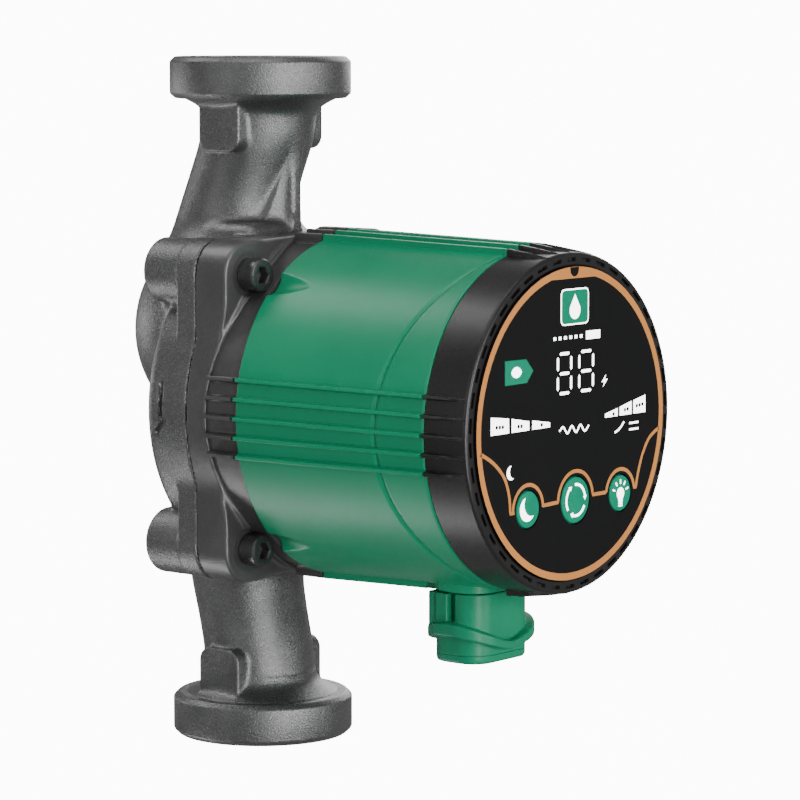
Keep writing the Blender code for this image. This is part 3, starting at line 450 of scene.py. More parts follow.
def housing_field(x, y, z):
    lobes = lobe_outline(x, z)
    around = np.hypot(x, z)
    bolt = np.hypot(np.abs(x) - BOLT_X, np.abs(z) - BOLT_Z)
    plate = slab(lobes, y, -16.0, -6.0, 0.7)
    lean = np.clip((around - 32.0) / 12.0, 0, 1)
    back = (y - 5.0 + 4.8 * lean ** 2.2) / np.sqrt(1 + (0.88 * lean ** 1.2) ** 2)
    volute = np.maximum(smooth_max(around - RIM, back, 1.6), -20 - y)
    boss = slab(bolt - 8.5, y, -14.0, 5.8, 1.0)
    body = smooth_min(volute, boss, 2.6)
    dome = ellipsoid(x, y - 6.0, z - 18.2, (31.2, 27.0, 29.7))
    bulge = np.sqrt(x ** 2 + (y - 5.5) ** 2 + z ** 2) - 16.5
    body = smooth_min(body, smooth_min(dome, bulge, 5.0), 4.0)
    outlet = pipe(x, y, z, OUTLET_NECK)
    inlet = pipe(x, y, z, INLET_NECK)
    body = smooth_min(body, outlet, 5.0)
    body = smooth_min(body, inlet, 5.0)
    ledge = block(x, y, z, (-17.6, -12.2, 38.5), (0.0, 6.0, 47.0), 3.6)
    body = smooth_min(body, ledge, 1.6)
    fin = block(x, y, z, (-1.6, -12.3, 40.0), (1.6, 4.0, 68.5), 0.8)
    body = smooth_min(body, fin, 2.2)
    web = np.maximum((-12.0 - 0.65 * x - y) / 1.19, (-x - (68.0 - z) * 0.33) / 1.05)
    web = np.maximum(web, -12.2 - y)
    web = np.maximum(web, np.maximum(np.maximum(x - 1.0, y - 4.0), 42.0 - z))
    body = smooth_min(body, web, 2.0)
    for low, high, forward, behind in ((65.4, 92.0, -7.0, 6.8), (-92.0, -65.8, -6.0, 7.6)):
        outline = rectangle(y - 0.5 * (forward + behind), z - 0.5 * (low + high),
                            0.5 * (behind - forward), 0.5 * (high - low), 3.5)
        body = smooth_min(body, slab(outline, np.abs(x), 5.0, 16.9, 0.4), 0.9)
    flare = np.hypot(x, y) - (13.6 + 6.7 * np.clip((np.abs(z) - 73.0) / 6.0, 0, 1) ** 2)
    body = smooth_min(body, np.maximum(flare, 74.0 - np.abs(z)), 1.5)
    body = smooth_min(body, plate, 0.8)
    hollow = np.minimum(pipe(x, y, z, INLET_PASSAGE), pipe(x, y, z, OUTLET_PASSAGE))
    chamber = np.sqrt(x ** 2 + (y - 8.75) ** 2 + (z - 18.4) ** 2) - 21.0
    chamber = np.minimum(chamber, np.sqrt(x ** 2 + (y - 5.5) ** 2 + z ** 2) - 13.0)
    hollow = np.minimum(hollow, np.maximum(chamber, 5.0 - y))
    hollow = np.minimum(hollow, slab(np.hypot(x, z + 3.0) - 36.0, y, -8.4, 1.6, 1.0))
    hollow = np.minimum(hollow, slab(around - 33.0, y, -20.0, -8.0, 0.1))
    hollow = np.minimum(hollow, slab(around - 36.2, y, -20.0, -9.9, 0.1))
    hollow = np.minimum(hollow, slab(around - 11.3, y, -1.0, 8.0, 0.1))
    hollow = np.minimum(hollow, slab(bolt - 2.8, y, -20.0, 2.0, 0.1))
    turn = math.radians(44)
    along = (y + 3.75) * -math.sin(turn) + (z + 4.0) * math.cos(turn)
    over = (y + 3.75) * math.cos(turn) + (z + 4.0) * math.sin(turn)
    arrow = np.minimum(rectangle(y + 3.85, z - 2.5, 0.7, 5.0, 0.3), rectangle(over, along, 0.7, 2.7, 0.3))
    body = smooth_max(body, -hollow, 0.5)
    body = np.maximum(body, -np.maximum(arrow, x + 42.7))
    body = np.maximum(body, np.minimum(-JOINT - y, 60.0 - np.abs(z)))
    return np.maximum(body, np.abs(z) - (HALF_LENGTH - COLLAR_HEIGHT + 1.0))


def collar_profile(top):
    """Union collar as (radius, height) round the pipe axis, bevelled and slightly dished."""
    outer, inner = HALF_LENGTH, HALF_LENGTH - COLLAR_HEIGHT
    profile = rounded([(COLLAR_RADIUS, outer - 1.3), (COLLAR_RADIUS, inner + 1.3),
                       (COLLAR_RADIUS - 1.4, inner), (14.0, inner), (BORE, inner + 0.5),
                       (BORE, outer - 0.6), (BORE + 0.6, outer), (COLLAR_RADIUS - 1.4, outer)], 0.35, 2)
    profile[:, 1] *= top
    return profile


def make_housing():
    low, high = (-45.5, -21.6, -80.6), (45.5, 34.6, 80.6)
    housing = cast("housing_casting", housing_field, low, high, 0.53, CAST_IRON, machined=-JOINT)
    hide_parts("pump_housing")
    for name, top in (("inlet_collar", 1), ("outlet_collar", -1)):
        collar = lathe(name, collar_profile(top), CAST_IRON, axis="z", segments=160, sharp=30)


# ---------------------------------------------------------------- motor flange
def ridge_forward(x, z):
    """Forward distance of the flange rim, which swells at each screw lobe."""
    turn = np.degrees(np.arctan2(np.abs(z), np.abs(x)))
    return np.interp(turn, (0, 7, 12, 18, 24, 30, 35, 41, 58, 63, 67, 72, 77, 83, 90),
                     (19.1, 19.2, 19.6, 20.2, 20.9, 22.2, 23.3, 23.8, 23.7, 23.0, 22.1, 20.9,
                      19.8, 19.3, 19.1))


def rib_offset(angle, radius):
    """Distance round the barrel to the nearest rib's middle, in four groups of five."""
    best = None
    for group in (0, 90, 180, 270):
        spread = (angle - math.radians(group) + math.pi) % (2 * math.pi) - math.pi
        near = np.clip(np.round(spread / RIB_PITCH), -2, 2) * RIB_PITCH
        away = np.abs(spread - near) * radius
        best = away if best is None else np.minimum(best, away)
    return best


def flange_field(x, y, z):
    around = np.hypot(x, z)
    bolt = np.hypot(np.abs(x) - BOLT_X, np.abs(z) - BOLT_Z)
    plate = slab(lobe_outline(x, z), y, -23.0, -FLANGE_BACK + 3.0, 0.6)
    for across in (x, z):
        plate = smooth_max(plate, 88.8 - np.hypot(y + 19.1 + 88.8, across), 1.0)
    rim = ridge_forward(x, z)
    disc = np.maximum(around - RIM, -y - rim)
    bead = np.hypot(around - 43.6, y + rim) - 0.4
    barrel = slab(around - BARREL + 0.7, y, -29.2, -16.0, 0.3)
    body = smooth_min(disc, barrel, 0.6)
    body = smooth_min(body, plate, 1.5)
    body = smooth_min(body, bead, 0.5)
    hollow = np.minimum(slab(bolt - 5.3, y, -40.0, -22.8, 0.2), slab(bolt - 2.8, y, -40.0, -5.0, 0.2))
    hollow = np.minimum(hollow, slab(around - 18.4, y, -40.0, -5.0, 0.2))
    hollow = np.minimum(hollow, slab(around - 38.3, y, -40.0, -22.0, 0.2))
    return np.maximum(smooth_max(body, -hollow, 0.4), y + FLANGE_BACK + 0.25)


def make_flange():
    low, high = (-46.7, -30.4, -46.7), (46.7, -FLANGE_BACK + 0.8, 46.7)
    flange = cast("flange_casting", flange_field, low, high, 0.46, FLANGE_PAINT,
                  machined=-FLANGE_BACK - 0.25)
    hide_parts("motor_flange")
    angles = rib_angles()
    edge = np.array([0.0, 0.05, 0.14, 0.25])
    back, rib_back, front = 17.5, 20.3, SHELL_BACK - GAP
    forward = np.concatenate([front - edge, np.linspace(front - 1.5, rib_back + 1.5, 4),
                              rib_back + edge[::-1], [19.0, back]])[:, None]
    rise = np.clip((forward - rib_back) / 0.14, 0, 1) * np.clip((front - forward) / 0.14, 0, 1)
    radius = BARREL + rib_height(angles, BARREL, 0.56, 2.5, 0.14) * rise - 0.12 * (forward > front - 0.1)
    radius = np.concatenate([radius, np.full((2, angles.shape[1]), 40.0)])
    forward = np.concatenate([forward, [[back], [front]]])
    barrel = revolved("motor_barrel", radius, forward, angles, FLANGE_PAINT, sharp=42)
    sleeve = lathe("motor_sleeve", rounded([(40.7, 66.5), (40.7, 25.0), (38.3, 25.0), (38.3, 66.5)], 0.3),
                   FLANGE_PAINT, segments=96)


def make_screws():
    """Socket cap screws: a bevelled head with a hexagon socket, and a plain shank."""
    angles = np.linspace(0, 2 * math.pi, 48, endpoint=False)
    hexagon = 2.31 / np.cos((angles % (math.pi / 3)) - math.pi / 6) * math.cos(math.pi / 6)
    round_one = np.ones_like(angles)
    for index, (x, z) in enumerate((x, z) for x in (-BOLT_X, BOLT_X) for z in (-BOLT_Z, BOLT_Z)):
        node = f"flange_screw_{index + 1}"
        head = -extent(node)[0][1]
        rows = [(0.001 * round_one, head - 2.9), (hexagon * 0.98, head - 2.6), (hexagon, head - 0.35),
                (hexagon + 0.3, head - 0.02), (3.55 * round_one, head), (3.95 * round_one, head - 0.12),
                (4.25 * round_one, head - 0.5), (4.25 * round_one, head - 4.6),
                (4.1 * round_one, head - 5.0), (2.5 * round_one, head - 5.0),
                (2.5 * round_one, -0.8), (1.9 * round_one, -1.5), (0.001 * round_one, -1.5)]
        radius = np.stack([row[0] for row in rows])
        forward = np.array([row[1] for row in rows])[:, None]
        screw = revolved(f"cap_screw_{index + 1}", radius, forward, angles, SCREW_BLACK,
                         sharp=30, centre=(x, z))
        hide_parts(node)


# ---------------------------------------------------------------- shell and cap
def rib_height(angle, radius, half_width, height, soft=0.12):
    away = rib_offset(angle, radius)
    rise = np.clip((half_width + soft - away) / (2 * soft), 0, 1)
    return height * rise * rise * (3 - 2 * rise)


def rib_angles():
    """Angles round the barrel, closer together at the flanks of each rib."""
    even = np.linspace(0, 2 * math.pi, 720, endpoint=False)
    flanks = np.array([-0.9, -0.66, -0.58, -0.5, -0.42, -0.34, 0.34, 0.42, 0.5, 0.58, 0.66, 0.9]) / 43.6
    close = [math.radians(group) + rib * RIB_PITCH + flanks for group in (0, 90, 180, 270)
             for rib in (-2, -1, 0, 1, 2)]
    angles = np.unique(np.round(np.concatenate([even, *close]) % (2 * math.pi), 5))
    keep = np.concatenate([[True], np.diff(angles) > 0.0009])
    return angles[keep][None, :]


def plug_outline(inset=0.0, segments=48):
    """Oval of the connector seen from above, as a closed loop of (x, y)."""
    half_x, half_y, corner = 12.0 - inset, 8.25 - inset, max(6.4 - inset, 0.5)
    loop = []
    for quarter in range(4):
        for step in range(segments // 4):
            turn = math.radians(90 * (quarter + step / (segments // 4 - 1)))
            sx, sy = ((1, 1), (-1, 1), (-1, -1), (1, -1))[quarter]
            loop.append((sx * (half_x - corner) + corner * math.cos(turn),
                         sy * (half_y - corner) + corner * math.sin(turn) - PLUG_MIDDLE))
    return np.array(loop)


def make_shell():
    """Green shell: ribs, the engraved line round its front and the screwdriver clearances."""
    angles = rib_angles()
    edge = np.array([0.0, 0.06, 0.16, 0.3, 0.5])
    forward = np.concatenate([SHELL_FRONT - edge, np.linspace(SHELL_FRONT - 0.8, SHELL_BACK + 0.8, 156),
                              (SHELL_BACK + edge)[::-1]])[:, None]
    ease = np.minimum(SHELL_FRONT - forward, forward - SHELL_BACK)
    soften = 0.3 * (1 - np.clip(ease / 0.5, 0, 1)) ** 2
    radius = (np.interp(forward, (SHELL_BACK, SHELL_FRONT), (SHELL_BACK_RADIUS, SHELL_FRONT_RADIUS))
              - soften) * np.ones_like(angles)
    z = radius * np.sin(angles)
    line = 73.9 + 67.8 - np.sqrt(67.8 ** 2 - np.clip(z, -43, 43) ** 2)
    slope = np.clip(z, -43, 43) / np.sqrt(67.8 ** 2 - np.clip(z, -43, 43) ** 2) * np.cos(angles)
    away = np.abs(forward - line) / np.sqrt(1 + slope ** 2)
    dip = np.clip(1 - away / 0.75, 0, 1)
    groove = -0.5 * dip * dip * (3 - 2 * dip)
    ribs = rib_height(angles, radius, 0.52, RIB_HEIGHT) * np.clip(ease / 0.2, 0, 1)
    ribs = ribs * ~((np.sin(angles) < -0.9) & (forward > 64.0))
    skin = radius + np.where(ribs > 0.02, np.maximum(ribs, groove), groove)
    bolt = math.hypot(BOLT_X, BOLT_Z)
    cone = np.clip((61.4 - forward) * 5.3 / 33.4, 0, None)
    for sx in (-1, 1):
        for sz in (-1, 1):
            away = angles - math.atan2(sz * BOLT_Z, sx * BOLT_X)
            along = bolt * np.cos(away)
            inside = along ** 2 - bolt ** 2 + cone ** 2
            cut = np.where((inside > 0) & (along > 0), along - np.sqrt(np.maximum(inside, 0)), 99)
            skin = np.minimum(skin, np.maximum(cut, 41.5))
    lip_back, lip_front = 82.6, 84.4
    bore_forward = np.array([SHELL_BACK, *np.arange(64.0, 82.4, 0.6), lip_back, lip_back,
                             lip_front, lip_front, SHELL_FRONT])[:, None]
    bore = np.full_like(bore_forward, SHELL_BORE)
    bore[-4:-2] = 39.8
    radius = np.concatenate([skin, bore * np.ones_like(angles)])
    forward = np.concatenate([forward, bore_forward])

    def outside_socket(middle):
        oval = rectangle(middle[:, 0], middle[:, 1] + PLUG_MIDDLE, 11.6, 7.85, 6.0)
        return ~((oval < 0) & (middle[:, 2] < 0))

    shell = revolved("green_shell", radius, forward, angles, GREEN, sharp=42, keep=outside_socket)
    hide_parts("stator_shell")
    rows = ((-0.3, -39.0), (-0.3, SKIRT_BOTTOM + 0.2), (-0.1, SKIRT_BOTTOM), (1.3, SKIRT_BOTTOM),
            (1.6, SKIRT_BOTTOM + 0.3), (1.6, -39.0))
    points = np.concatenate([np.column_stack([plug_outline(inset), np.full(48, height)])
                             for inset, height in rows])
    skirt = mesh_piece("connector_skirt", points, grid_faces(len(rows), 48), GREEN)


def make_cap():
    """Black cap: the ribs run on and fade, and a ring of slots is let into its front."""
    angles = rib_angles()
    edge = np.array([0.0, 0.08, 0.2, 0.4, 0.7])
    forward = np.concatenate([CAP_FRONT - edge, np.linspace(CAP_FRONT - 1.0, CAP_BACK + 0.4, 40),
                              CAP_BACK + np.array([0.3, 0.15, 0.0])])[:, None]
    soften = 0.7 * (1 - np.clip((CAP_FRONT - forward) / 0.7, 0, 1)) ** 2
    soften = soften + 0.25 * (1 - np.clip((forward - CAP_BACK) / 0.3, 0, 1)) ** 2
    radius = np.interp(forward, (CAP_BACK, CAP_FRONT), (SHELL_FRONT_RADIUS, CAP_RADIUS)) - soften
    fade = np.clip((CAP_FRONT - 0.3 - forward) / (CAP_FRONT - 0.3 - CAP_BACK), 0, 1)
    skin = radius + rib_height(angles, SHELL_FRONT_RADIUS, 0.1 + 0.45 * np.sqrt(fade),
                               RIB_HEIGHT * fade ** 0.75, 0.14)
    inner = np.array([(40.9, CAP_BACK), (40.9, 86.3), (39.4, 86.3), (39.4, 99.0), (36.5, 99.0),
                      (36.5, 100.5), (39.35, 100.5), (39.35, CAP_FRONT - 0.1), (39.5, CAP_FRONT)])
    slot = np.abs((angles * 42 / (2 * math.pi)) % 1 - 0.5) < 0.28
    radii = np.array([39.9, 40.28, 40.3, 41.2, 41.22, 41.5])[:, None]
    deep = np.array([0, 0, 1, 1, 0, 0])[:, None]
    front = CAP_FRONT - 1.1 * deep * slot
    radius = np.concatenate([skin, inner[:, :1] * np.ones_like(angles), radii * np.ones_like(angles)])
    forward = np.concatenate([forward * np.ones_like(angles), inner[:, 1:] * np.ones_like(angles), front])
    cap = revolved("black_cap", radius, forward, angles, BLACK, sharp=42)
    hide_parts("control_cap")


# ---------------------------------------------------------------- panel, keys and artwork
def arc(centre, radius, start, end, steps=24):
    turn = np.radians(np.linspace(start, end, steps + 1))
    return [(centre[0] + radius * math.cos(t), centre[1] + radius * math.sin(t)) for t in turn]


def smooth_path(points, steps=6):
    """Catmull-Rom curve through the points."""
    points = np.array(points, float)
    padded = np.vstack([2 * points[0] - points[1], points, 2 * points[-1] - points[-2]])
    out = []
    for i in range(1, len(padded) - 2):
        a, b, c, d = padded[i - 1:i + 3]
        for t in np.linspace(0, 1, steps, endpoint=False):
            out.append(0.5 * (2 * b + (c - a) * t + (2 * a - 5 * b + 4 * c - d) * t ** 2
                              + (3 * b - a - 3 * c + d) * t ** 3))
    return [tuple(p) for p in out] + [tuple(points[-1])]


def flat(name, outlines, forward, look, body="pump", thickness=0.03):
    """Thin printed shapes on the display plane; an outline inside another is a hole."""
    curve = bpy.data.curves.new(name, "CURVE")
    curve.dimensions = "2D"
    curve.fill_mode = "BOTH"
    curve.extrude = thickness / 2 * MM
    for outline in outlines:
        spline = curve.splines.new("POLY")
        spline.points.add(len(outline) - 1)
        for point, (x, z) in zip(spline.points, outline):
            point.co = (x * MM, z * MM, 0, 1)
        spline.use_cyclic_u = True
    source = bpy.data.objects.new(name + "_curve", curve)
    bpy.context.scene.collection.objects.link(source)
    source.rotation_euler = (math.pi / 2, 0, 0)
    source.location = (0, -(forward + thickness / 2) * MM, 0)
    bpy.context.view_layer.update()
    evaluated = source.evaluated_get(bpy.context.evaluated_depsgraph_get())
    mesh = bpy.data.meshes.new_from_object(evaluated)
    mesh.transform(source.matrix_world)
    bpy.data.objects.remove(source, do_unlink=True)
    return placed(name, mesh, look, body)


def ribbon(points, width, closed=False):
    """Outline, or outer and inner outlines if closed, of a line of this width."""
    points = np.array(points, float)
    if closed:
        ahead, behind = np.roll(points, -1, 0), np.roll(points, 1, 0)
    else:
        ahead = np.vstack([points[1:], points[-1:]])
        behind = np.vstack([points[:1], points[:-1]])
    along = ahead - behind
    along /= np.linalg.norm(along, axis=1)[:, None]
    side = np.stack([-along[:, 1], along[:, 0]], -1) * width / 2
    left, right = points + side, points - side
    if closed:
        return [[tuple(p) for p in left], [tuple(p) for p in right]]
    return [[tuple(p) for p in np.vstack([left, right[::-1]])]]


def segment(start, end, width):
    """One bar of a seven-segment digit, with pointed ends."""
    a, b = np.array(start, float), np.array(end, float)
    u = (b - a) / np.linalg.norm(b - a)
    n = np.array([-u[1], u[0]]) * width / 2
    i = u * width / 2
    return [tuple(p) for p in (a, a + i + n, b - i + n, b, b - i - n, a + i - n)]


def digit(left, right, low, middle, high, width=0.75, gap=0.72):
    bars = []
    for z in (low, middle, high):
        bars.append(segment((left + gap, z), (right - gap, z), width))
    for x in (left, right):
        bars.append(segment((x, low + gap), (x, middle - gap), width))
        bars.append(segment((x, middle + gap), (x, high - gap), width))
    return bars


def circle(centre, radius, steps=40):
    return arc(centre, radius, 0, 360, steps)[:-1]


def crescent(centre, radius, tilt):
    """Moon: the part of a disc that a shifted disc leaves."""
    shift = 0.7 * radius
    half = math.degrees(math.acos(shift / 2 / radius))
    outer = arc(centre, radius, tilt + 180 - (180 - half), tilt + 180 + (180 - half), 30)
    middle = (centre[0] + shift * math.cos(math.radians(tilt)),
              centre[1] + shift * math.sin(math.radians(tilt)))
    inner = arc(middle, radius, tilt + 180 + half, tilt + 180 - half, 24)
    return outer + inner


def make_panel():
    holes = [circle((x, z), r + 0.3, 64) for x, z, r in BUTTONS.values()]
    film = flat("display_panel", [circle((0, 0), PANEL_RADIUS, 200), *holes], PANEL_FRONT - 1.5,
                FILM, thickness=1.5)
    bevel = film.modifiers.new("edge", "BEVEL")
    bevel.width = 0.08 * MM
    bevel.segments = 2
    bevel.limit_method = "ANGLE"
    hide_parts("front_panel")


def make_artwork():
    """Printed artwork: the tan frame, the digits, the level bars and plain symbols."""
    base = PANEL_FRONT + 0.005
    chord = math.degrees(math.asin(36.1 / 37.2))
    ring = [circle((0, 0), PANEL_RADIUS - 0.08, 200),
            arc((0, 0), 37.2, 180 - chord, 360 + chord, 180)]
    flat("print_ring", ring, base, INK_TAN)
    flat("print_notch", [arc((0.4, 38.3), 1.75, 180, 360, 20) + [(2.15, 38.85), (-1.35, 38.85)]],
         base + 0.035, FILM)
    night, mode, light = (BUTTONS[k] for k in ("night", "mode", "light"))
    left = smooth_path([(-37.4, -4.2), (-36.3, -4.6), (-33.2, -6.2), (-30.4, -8.2), (-27.9, -10.8),
                        (-26.4, -13.9), (-25.7, -16.9), (-25.5, -19.7)])
    path = left + [(-23.9, -19.7)]
    path += arc(night[:2], 6.1, 178, 3, 26)
    path += [(-12.0, -19.15), (mode[0] - 7.2, -18.95)]
    path += arc(mode[:2], 7.3, 176, 5, 28)
    path += [(light[0] - 6.3, -18.6)]
    path += arc(light[:2], 6.1, 170, 8, 26)
    path += smooth_path([(27.2, -18.6), (28.3, -14.6), (30.1, -10.4), (32.7, -6.8), (35.6, -5.0),
                         (37.3, -4.4)])
    flat("print_line", ribbon(path, 0.95), base, INK_TAN)

    white = digit(-6.3, -0.8, 7.9, 12.8, 17.7) + digit(2.6, 8.4, 7.9, 12.8, 17.7)
    white += [[(5.4, 20.6), (11.3, 20.6), (11.3, 22.7), (5.4, 22.7)]]
    bars = [[(-33.3, 4.4), (-26.2, 3.6), (-26.1, 0.0), (-33.3, 0.0)],
            [(-25.0, 3.4), (-18.0, 2.2), (-18.0, 0.0), (-25.0, 0.0)],
            [(-16.7, 2.3), (-9.5, 1.2), (-9.5, 0.0), (-16.7, 0.0)],
            [(13.7, 0.3), (19.1, 0.3), (19.1, 2.3), (13.7, 1.3)],
            [(20.0, 0.3), (25.1, 0.3), (25.1, 3.6), (20.0, 2.5)],
            [(25.9, 0.3), (31.2, 0.3), (31.1, 4.7), (25.9, 3.7)]]
    dots = [(-31.0, 1.8), (-29.8, 1.75), (-28.6, 1.7), (-22.3, 1.3), (-21.1, 1.25), (-12.9, 0.9),
            (17.3, 0.95), (22.2, 1.6), (23.4, 1.7), (27.4, 2.2), (28.6, 2.3), (29.8, 2.4)]
    white += bars + [crescent((-25.2, -9.8), 1.75, 15)]
    flat("print_white", white, base, WHITE_INK_PAINTED_GLOW)
    flat("print_dots", [circle(dot, 0.5, 16) for dot in dots], base + 0.035, FILM)
    # plain symbols in the place of the mode names: a wave, a rising curve and two level lines
    wave = smooth_path([(-5.6, -1.4), (-4.0, -0.5), (-2.2, -2.2), (-0.4, -0.5), (1.4, -2.2), (3.2, -0.5),
                        (5.0, -2.2), (6.8, -0.9)])
    flat("print_wave", ribbon(wave, 0.5), base, WHITE_INK_PAINTED_GLOW)
    slope = smooth_path([(17.9, -3.8), (19.4, -3.3), (20.8, -2.4), (21.9, -1.4)])
    level = [(24.2, -2.0), (26.0, -2.0), (28.2, -2.0)]
    rest = [(24.2, -3.6), (26.0, -3.6), (28.2, -3.6)]
    flat("print_curves", ribbon(slope, 0.5) + ribbon(level, 0.5) + ribbon(rest, 0.5), base, WHITE_INK_PAINTED_GLOW)
    flat("print_bolt", [[(13.9, 11.2), (12.1, 9.4), (13.2, 9.4), (12.7, 8.2), (14.7, 10.1), (13.5, 10.1)]],
         base, WHITE_INK_PAINTED_GLOW)
    rows = [[(x, 21.2), (x + 1.1, 21.2), (x + 1.1, 22.0), (x, 22.0)] for x in np.arange(-8.2, 4.0, 2.2)]
    flat("print_dashes", rows, base, WHITE_INK_PAINTED_GLOW)

    tag = [(-27.8, 17.6), (-19.3, 17.5), (-16.4, 14.5), (-19.0, 11.7), (-27.8, 11.6)]
    flat("print_tag", [tag], base, INK_GREEN)
    leaf = arc((-23.2, 15.5), 2.3, 205, 335, 12) + arc((-23.2, 13.6), 2.3, 25, 155, 12)
    flat("print_leaf", [leaf], base + 0.035, WHITE_INK_PAINTED_GLOW)
    frame_outline = rounded([(-5.2, 33.6), (6.4, 33.6), (6.4, 24.6), (-5.2, 24.6)], 1.6, 5)
    inside = rounded([(-4.85, 33.25), (6.05, 33.25), (6.05, 24.95), (-4.85, 24.95)], 1.3, 5)
    flat("print_badge_edge", [[tuple(p) for p in frame_outline]], base, WHITE_INK_PAINTED_GLOW)
    flat("print_badge", [[tuple(p) for p in inside]], base + 0.035, INK_GREEN)
    drop = [(0.6, 32.2)] + arc((0.6, 28.2), 2.2, 32, -212, 28)
    flat("print_drop", [drop], base + 0.07, WHITE_INK_PAINTED_GLOW)


def make_keys():
    for name, (x, z, r) in BUTTONS.items():
        body = f"button_{name}"
        front = -extent(body)[0][1] - 0.05
        back = -extent(body)[1][1]
        outline = [(0.001, front), (r * 0.5, front), (r - 0.5, front - 0.02), (r - 0.18, front - 0.1),
                   (r, front - 0.35), (r, 100.4), (r + 1.0, 100.4), (r + 1.0, 99.5), (1.5, 99.5),
                   (1.5, back), (0.001, back)]
        key = lathe(f"key_{name}", outline, KEY_GREEN, segments=72, body=body, centre=(x, 0, z), sharp=40)
        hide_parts(body)
    top = -extent("button_mode")[0][1] - 0.04
    x, z, r = BUTTONS["night"]
    flat("icon_moon", [crescent((x - 0.4, z + 0.1), 3.0, 35)], top, WHITE_INK_PAINTED_GLOW, body="button_night")
    x, z, r = BUTTONS["mode"]
    turns = []
    for start in (95, 215, 335):
        end = start - 84
        outer, inner = arc((x, z), 4.25, start, end, 14), arc((x, z), 3.6, end, start, 14)
        tip = math.radians(end - 15)
        tip = (x + 3.9 * math.cos(tip), z + 3.9 * math.sin(tip))
        wide = math.radians(end)
        turns.append(outer + [(x + 4.6 * math.cos(wide), z + 4.6 * math.sin(wide)), tip,
                              (x + 3.2 * math.cos(wide), z + 3.2 * math.sin(wide))] + inner)
    flat("icon_cycle", turns, top, WHITE_INK_PAINTED_GLOW, body="button_mode")
    x, z, r = BUTTONS["light"]
    bulb = arc((x, z - 0.1), 1.55, -50, 230, 24) + [(x - 0.75, z - 2.3), (x + 0.75, z - 2.3)]
    shapes = [bulb]
    for drop in (2.4, 3.0):
        shapes.append([(x - 0.85, z - drop - 0.4), (x + 0.85, z - drop - 0.4),
                       (x + 0.85, z - drop), (x - 0.85, z - drop)])
    for turn in (20, 55, 90, 125, 160):
        t = math.radians(turn)
        a = (x + 2.45 * math.cos(t), z - 0.1 + 2.45 * math.sin(t))
        b = (x + 3.55 * math.cos(t), z - 0.1 + 3.55 * math.sin(t))
        shapes += ribbon([a, b], 0.42)
    flat("icon_bulb", shapes, top, WHITE_INK_PAINTED_GLOW, body="button_light")


# ---------------------------------------------------------------- mains connector
def plug_field(x, y, z):
    v, side = y + PLUG_MIDDLE, np.abs(x)
    body = slab(rectangle(x, v, 12.0, 8.25, 6.4), z, PLUG_LOW[2] - 0.5, PLUG_TOP, 0.3)
    recess = np.maximum(np.maximum(10.3 - side, -74.6 - y), -53.6 - z)
    body = smooth_max(body, -recess, 0.3)
    rail = rectangle(side - 10.4, y + 70.85, 2.4, 1.85, 0.35)
    cheek = rectangle(side - 9.2, y + 67.7, 3.0, 2.2, 1.9)
    post = slab(np.minimum(rail, cheek), z, -55.0, PLUG_TOP - 0.05, 0.25)
    body = smooth_min(body, post, 0.25)
    swing = np.cos(2 * np.arctan2(x, -v))
    crest, thick = -53.8 - 2.6 * swing, 2.6 - 0.6 * swing
    middle = z - crest + 0.5 * thick
    band = slab(rectangle(x, y + 73.9, 14.8, 10.3, 9.0), middle * 2.6 / thick, -1.3, 1.3, 0.4)
    body = smooth_min(body, band * 0.85, 0.5)
    nose = slab(rectangle(x, v, 8.1, 4.35, 2.5), z, -48.0, -38.4, 0.4)
    body = np.minimum(body, nose)
    room = slab(rectangle(x, v, 8.6, 6.3, 3.5), z, -70.0, -52.0, 0.2)
    ways = np.minimum(np.minimum(np.hypot(x, v), np.hypot(x - 5.0, v)), np.hypot(x + 5.0, v)) - 2.1
    body = np.maximum(np.maximum(body, -room), -ways)
    return np.maximum(body, PLUG_LOW[2] - z)


def make_plug():
    low, high = (-15.3, -84.7, PLUG_LOW[2] - 0.6), (15.3, -63.1, PLUG_HIGH[2] + 0.6)
    plug = cast("connector_body", plug_field, low, high, 0.25, PLUG_GREEN, body="plug")
    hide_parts("plug_body")
    bottom, top = COVER_LOW[2], PLUG_LOW[2] - 0.01
    rows = [(0.0, top), (0.0, bottom + 1.0), (0.12, bottom + 0.5), (0.4, bottom + 0.15), (0.9, bottom)]
    rings = [np.column_stack([plug_outline(inset), np.full(48, height)]) for inset, height in rows]
    middle = np.array([0.0, -PLUG_MIDDLE])
    turn = np.arctan2(rings[0][:, 1] + PLUG_MIDDLE, rings[0][:, 0])
    hole = middle + 4.9 * np.column_stack([np.cos(turn), np.sin(turn)])
    rings += [np.column_stack([hole, np.full(48, bottom)]), np.column_stack([hole, np.full(48, top)])]
    cover = mesh_piece("connector_cover", np.concatenate(rings), grid_faces(len(rings), 48), PLUG_GREEN,
                       body="plug")
    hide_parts("plug_cover")


make_housing()
make_flange()
make_screws()
make_shell()
make_cap()
make_panel()
make_artwork()
make_keys()
make_plug()

# ---------------------------------------------------------------- camera, floor and light
camera_data = bpy.data.cameras.new("camera")
camera_data.sensor_width = 36.0
camera_data.lens = 159.26
camera_data.clip_start, camera_data.clip_end = 0.01, 50.0
camera = bpy.data.objects.new("camera", camera_data)
bpy.context.scene.collection.objects.link(camera)
camera.location = (-0.703921, -0.616881, 0.09978)
camera.rotation_euler = (math.radians(83.849), 0.0, math.radians(-51.02))
bpy.context.scene.camera = camera


def area_light(name, location, target, size, power):
    data = bpy.data.lights.new(name, "AREA")
    data.shape = "RECTANGLE"
    data.size, data.size_y = size
    data.energy = power
    light = bpy.data.objects.new(name, data)
    bpy.context.scene.collection.objects.link(light)
    light.location = location
    light.rotation_euler = (Vector(target) - Vector(location)).to_track_quat("-Z", "Y").to_euler()


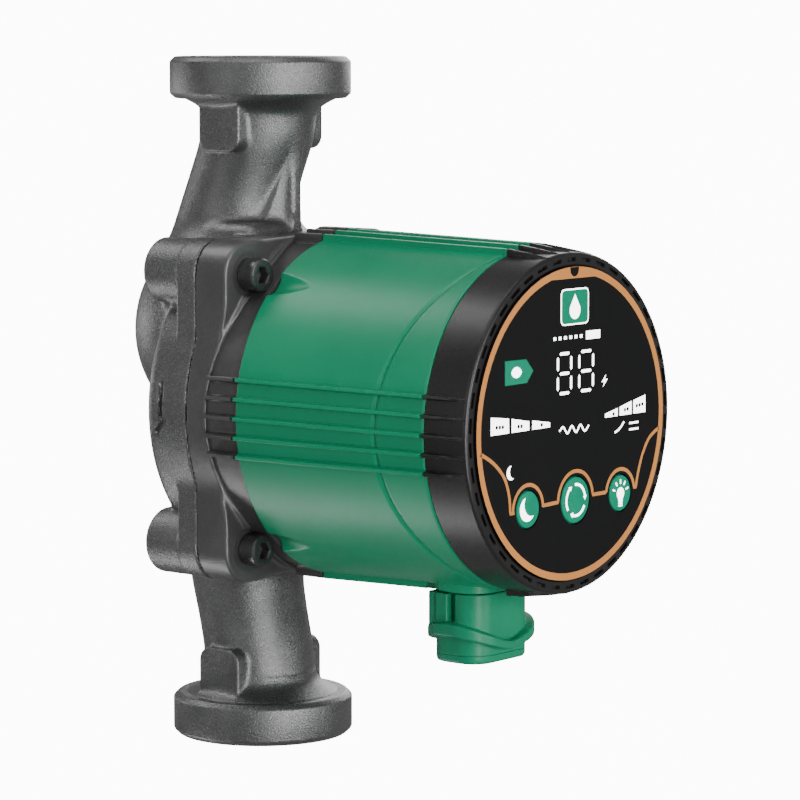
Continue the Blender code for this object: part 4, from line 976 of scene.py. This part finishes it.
def make_stage():
    """White floor that curves up into a white backdrop on every side, and the soft boxes."""
    across = np.concatenate([np.linspace(0.05, 6.0, 12), 6.0 + 3.0 * np.sin(np.linspace(0.2, 1.57, 8)),
                             [9.0, 6.0, 2.0, 0.05]])
    up = np.concatenate([np.full(12, -1.4), 1.6 - 3.0 * np.cos(np.linspace(0.2, 1.57, 8)),
                         [6.0, 9.5, 10.0, 10.0]])
    angles = np.linspace(0, 2 * math.pi, 64, endpoint=False)
    points = np.stack([across[:, None] * np.cos(angles), across[:, None] * np.sin(angles),
                       np.broadcast_to(up[:, None], (len(up), 64))], -1).reshape(-1, 3)
    mesh = bpy.data.meshes.new("floor")
    mesh.from_pydata(points.tolist(), [], grid_faces(len(up), 64, closed_rows=False).tolist())
    mesh.shade_smooth()
    mesh.materials.append(surface("floor_white", (0.9, 0.9, 0.9), 0.9, grain=200, bump=0.0,
                                  mottle=0.01, glow=12.0))
    floor = bpy.data.objects.new("floor", mesh)
    bpy.context.scene.collection.objects.link(floor)
    floor.visible_diffuse = floor.visible_glossy = floor.visible_shadow = False
    world = bpy.data.worlds.new("studio")
    bpy.context.scene.world = world
    world.use_nodes = True
    world.node_tree.nodes["Background"].inputs["Color"].default_value = (1.0, 1.0, 1.0, 1.0)
    world.node_tree.nodes["Background"].inputs["Strength"].default_value = 0.25
    area_light("key", (-0.58, -1.2, 0.0), (0, -0.02, 0.0), (0.28, 1.1), 11.5)
    area_light("front", (0.2, -1.5, 0.15), (0, -0.06, 0.0), (0.6, 0.6), 11.0)
    area_light("side", (-1.3, 0.15, 0.3), (0, -0.02, 0.0), (0.8, 0.8), 2.4)
    area_light("rim", (-0.05, 0.45, 0.02), (0, 0.0, 0.018), (0.1, 0.12), 0.26)
    area_light("right_fill", (1.2, 0.5, 0.4), (0, -0.02, 0.0), (0.8, 0.8), 6.0)
    area_light("top", (-0.35, -0.2, 1.2), (0, -0.04, 0.0), (0.6, 1.0), 5.5)
    area_light("upper_strip", (-0.18, 0.82, 0.95), (0, -0.06, 0.0), (0.4, 0.4), 3.6)
    area_light("lower_strip", (-0.36, 0.8, -0.85), (0, -0.06, 0.0), (0.4, 0.4), 3.6)


make_stage()
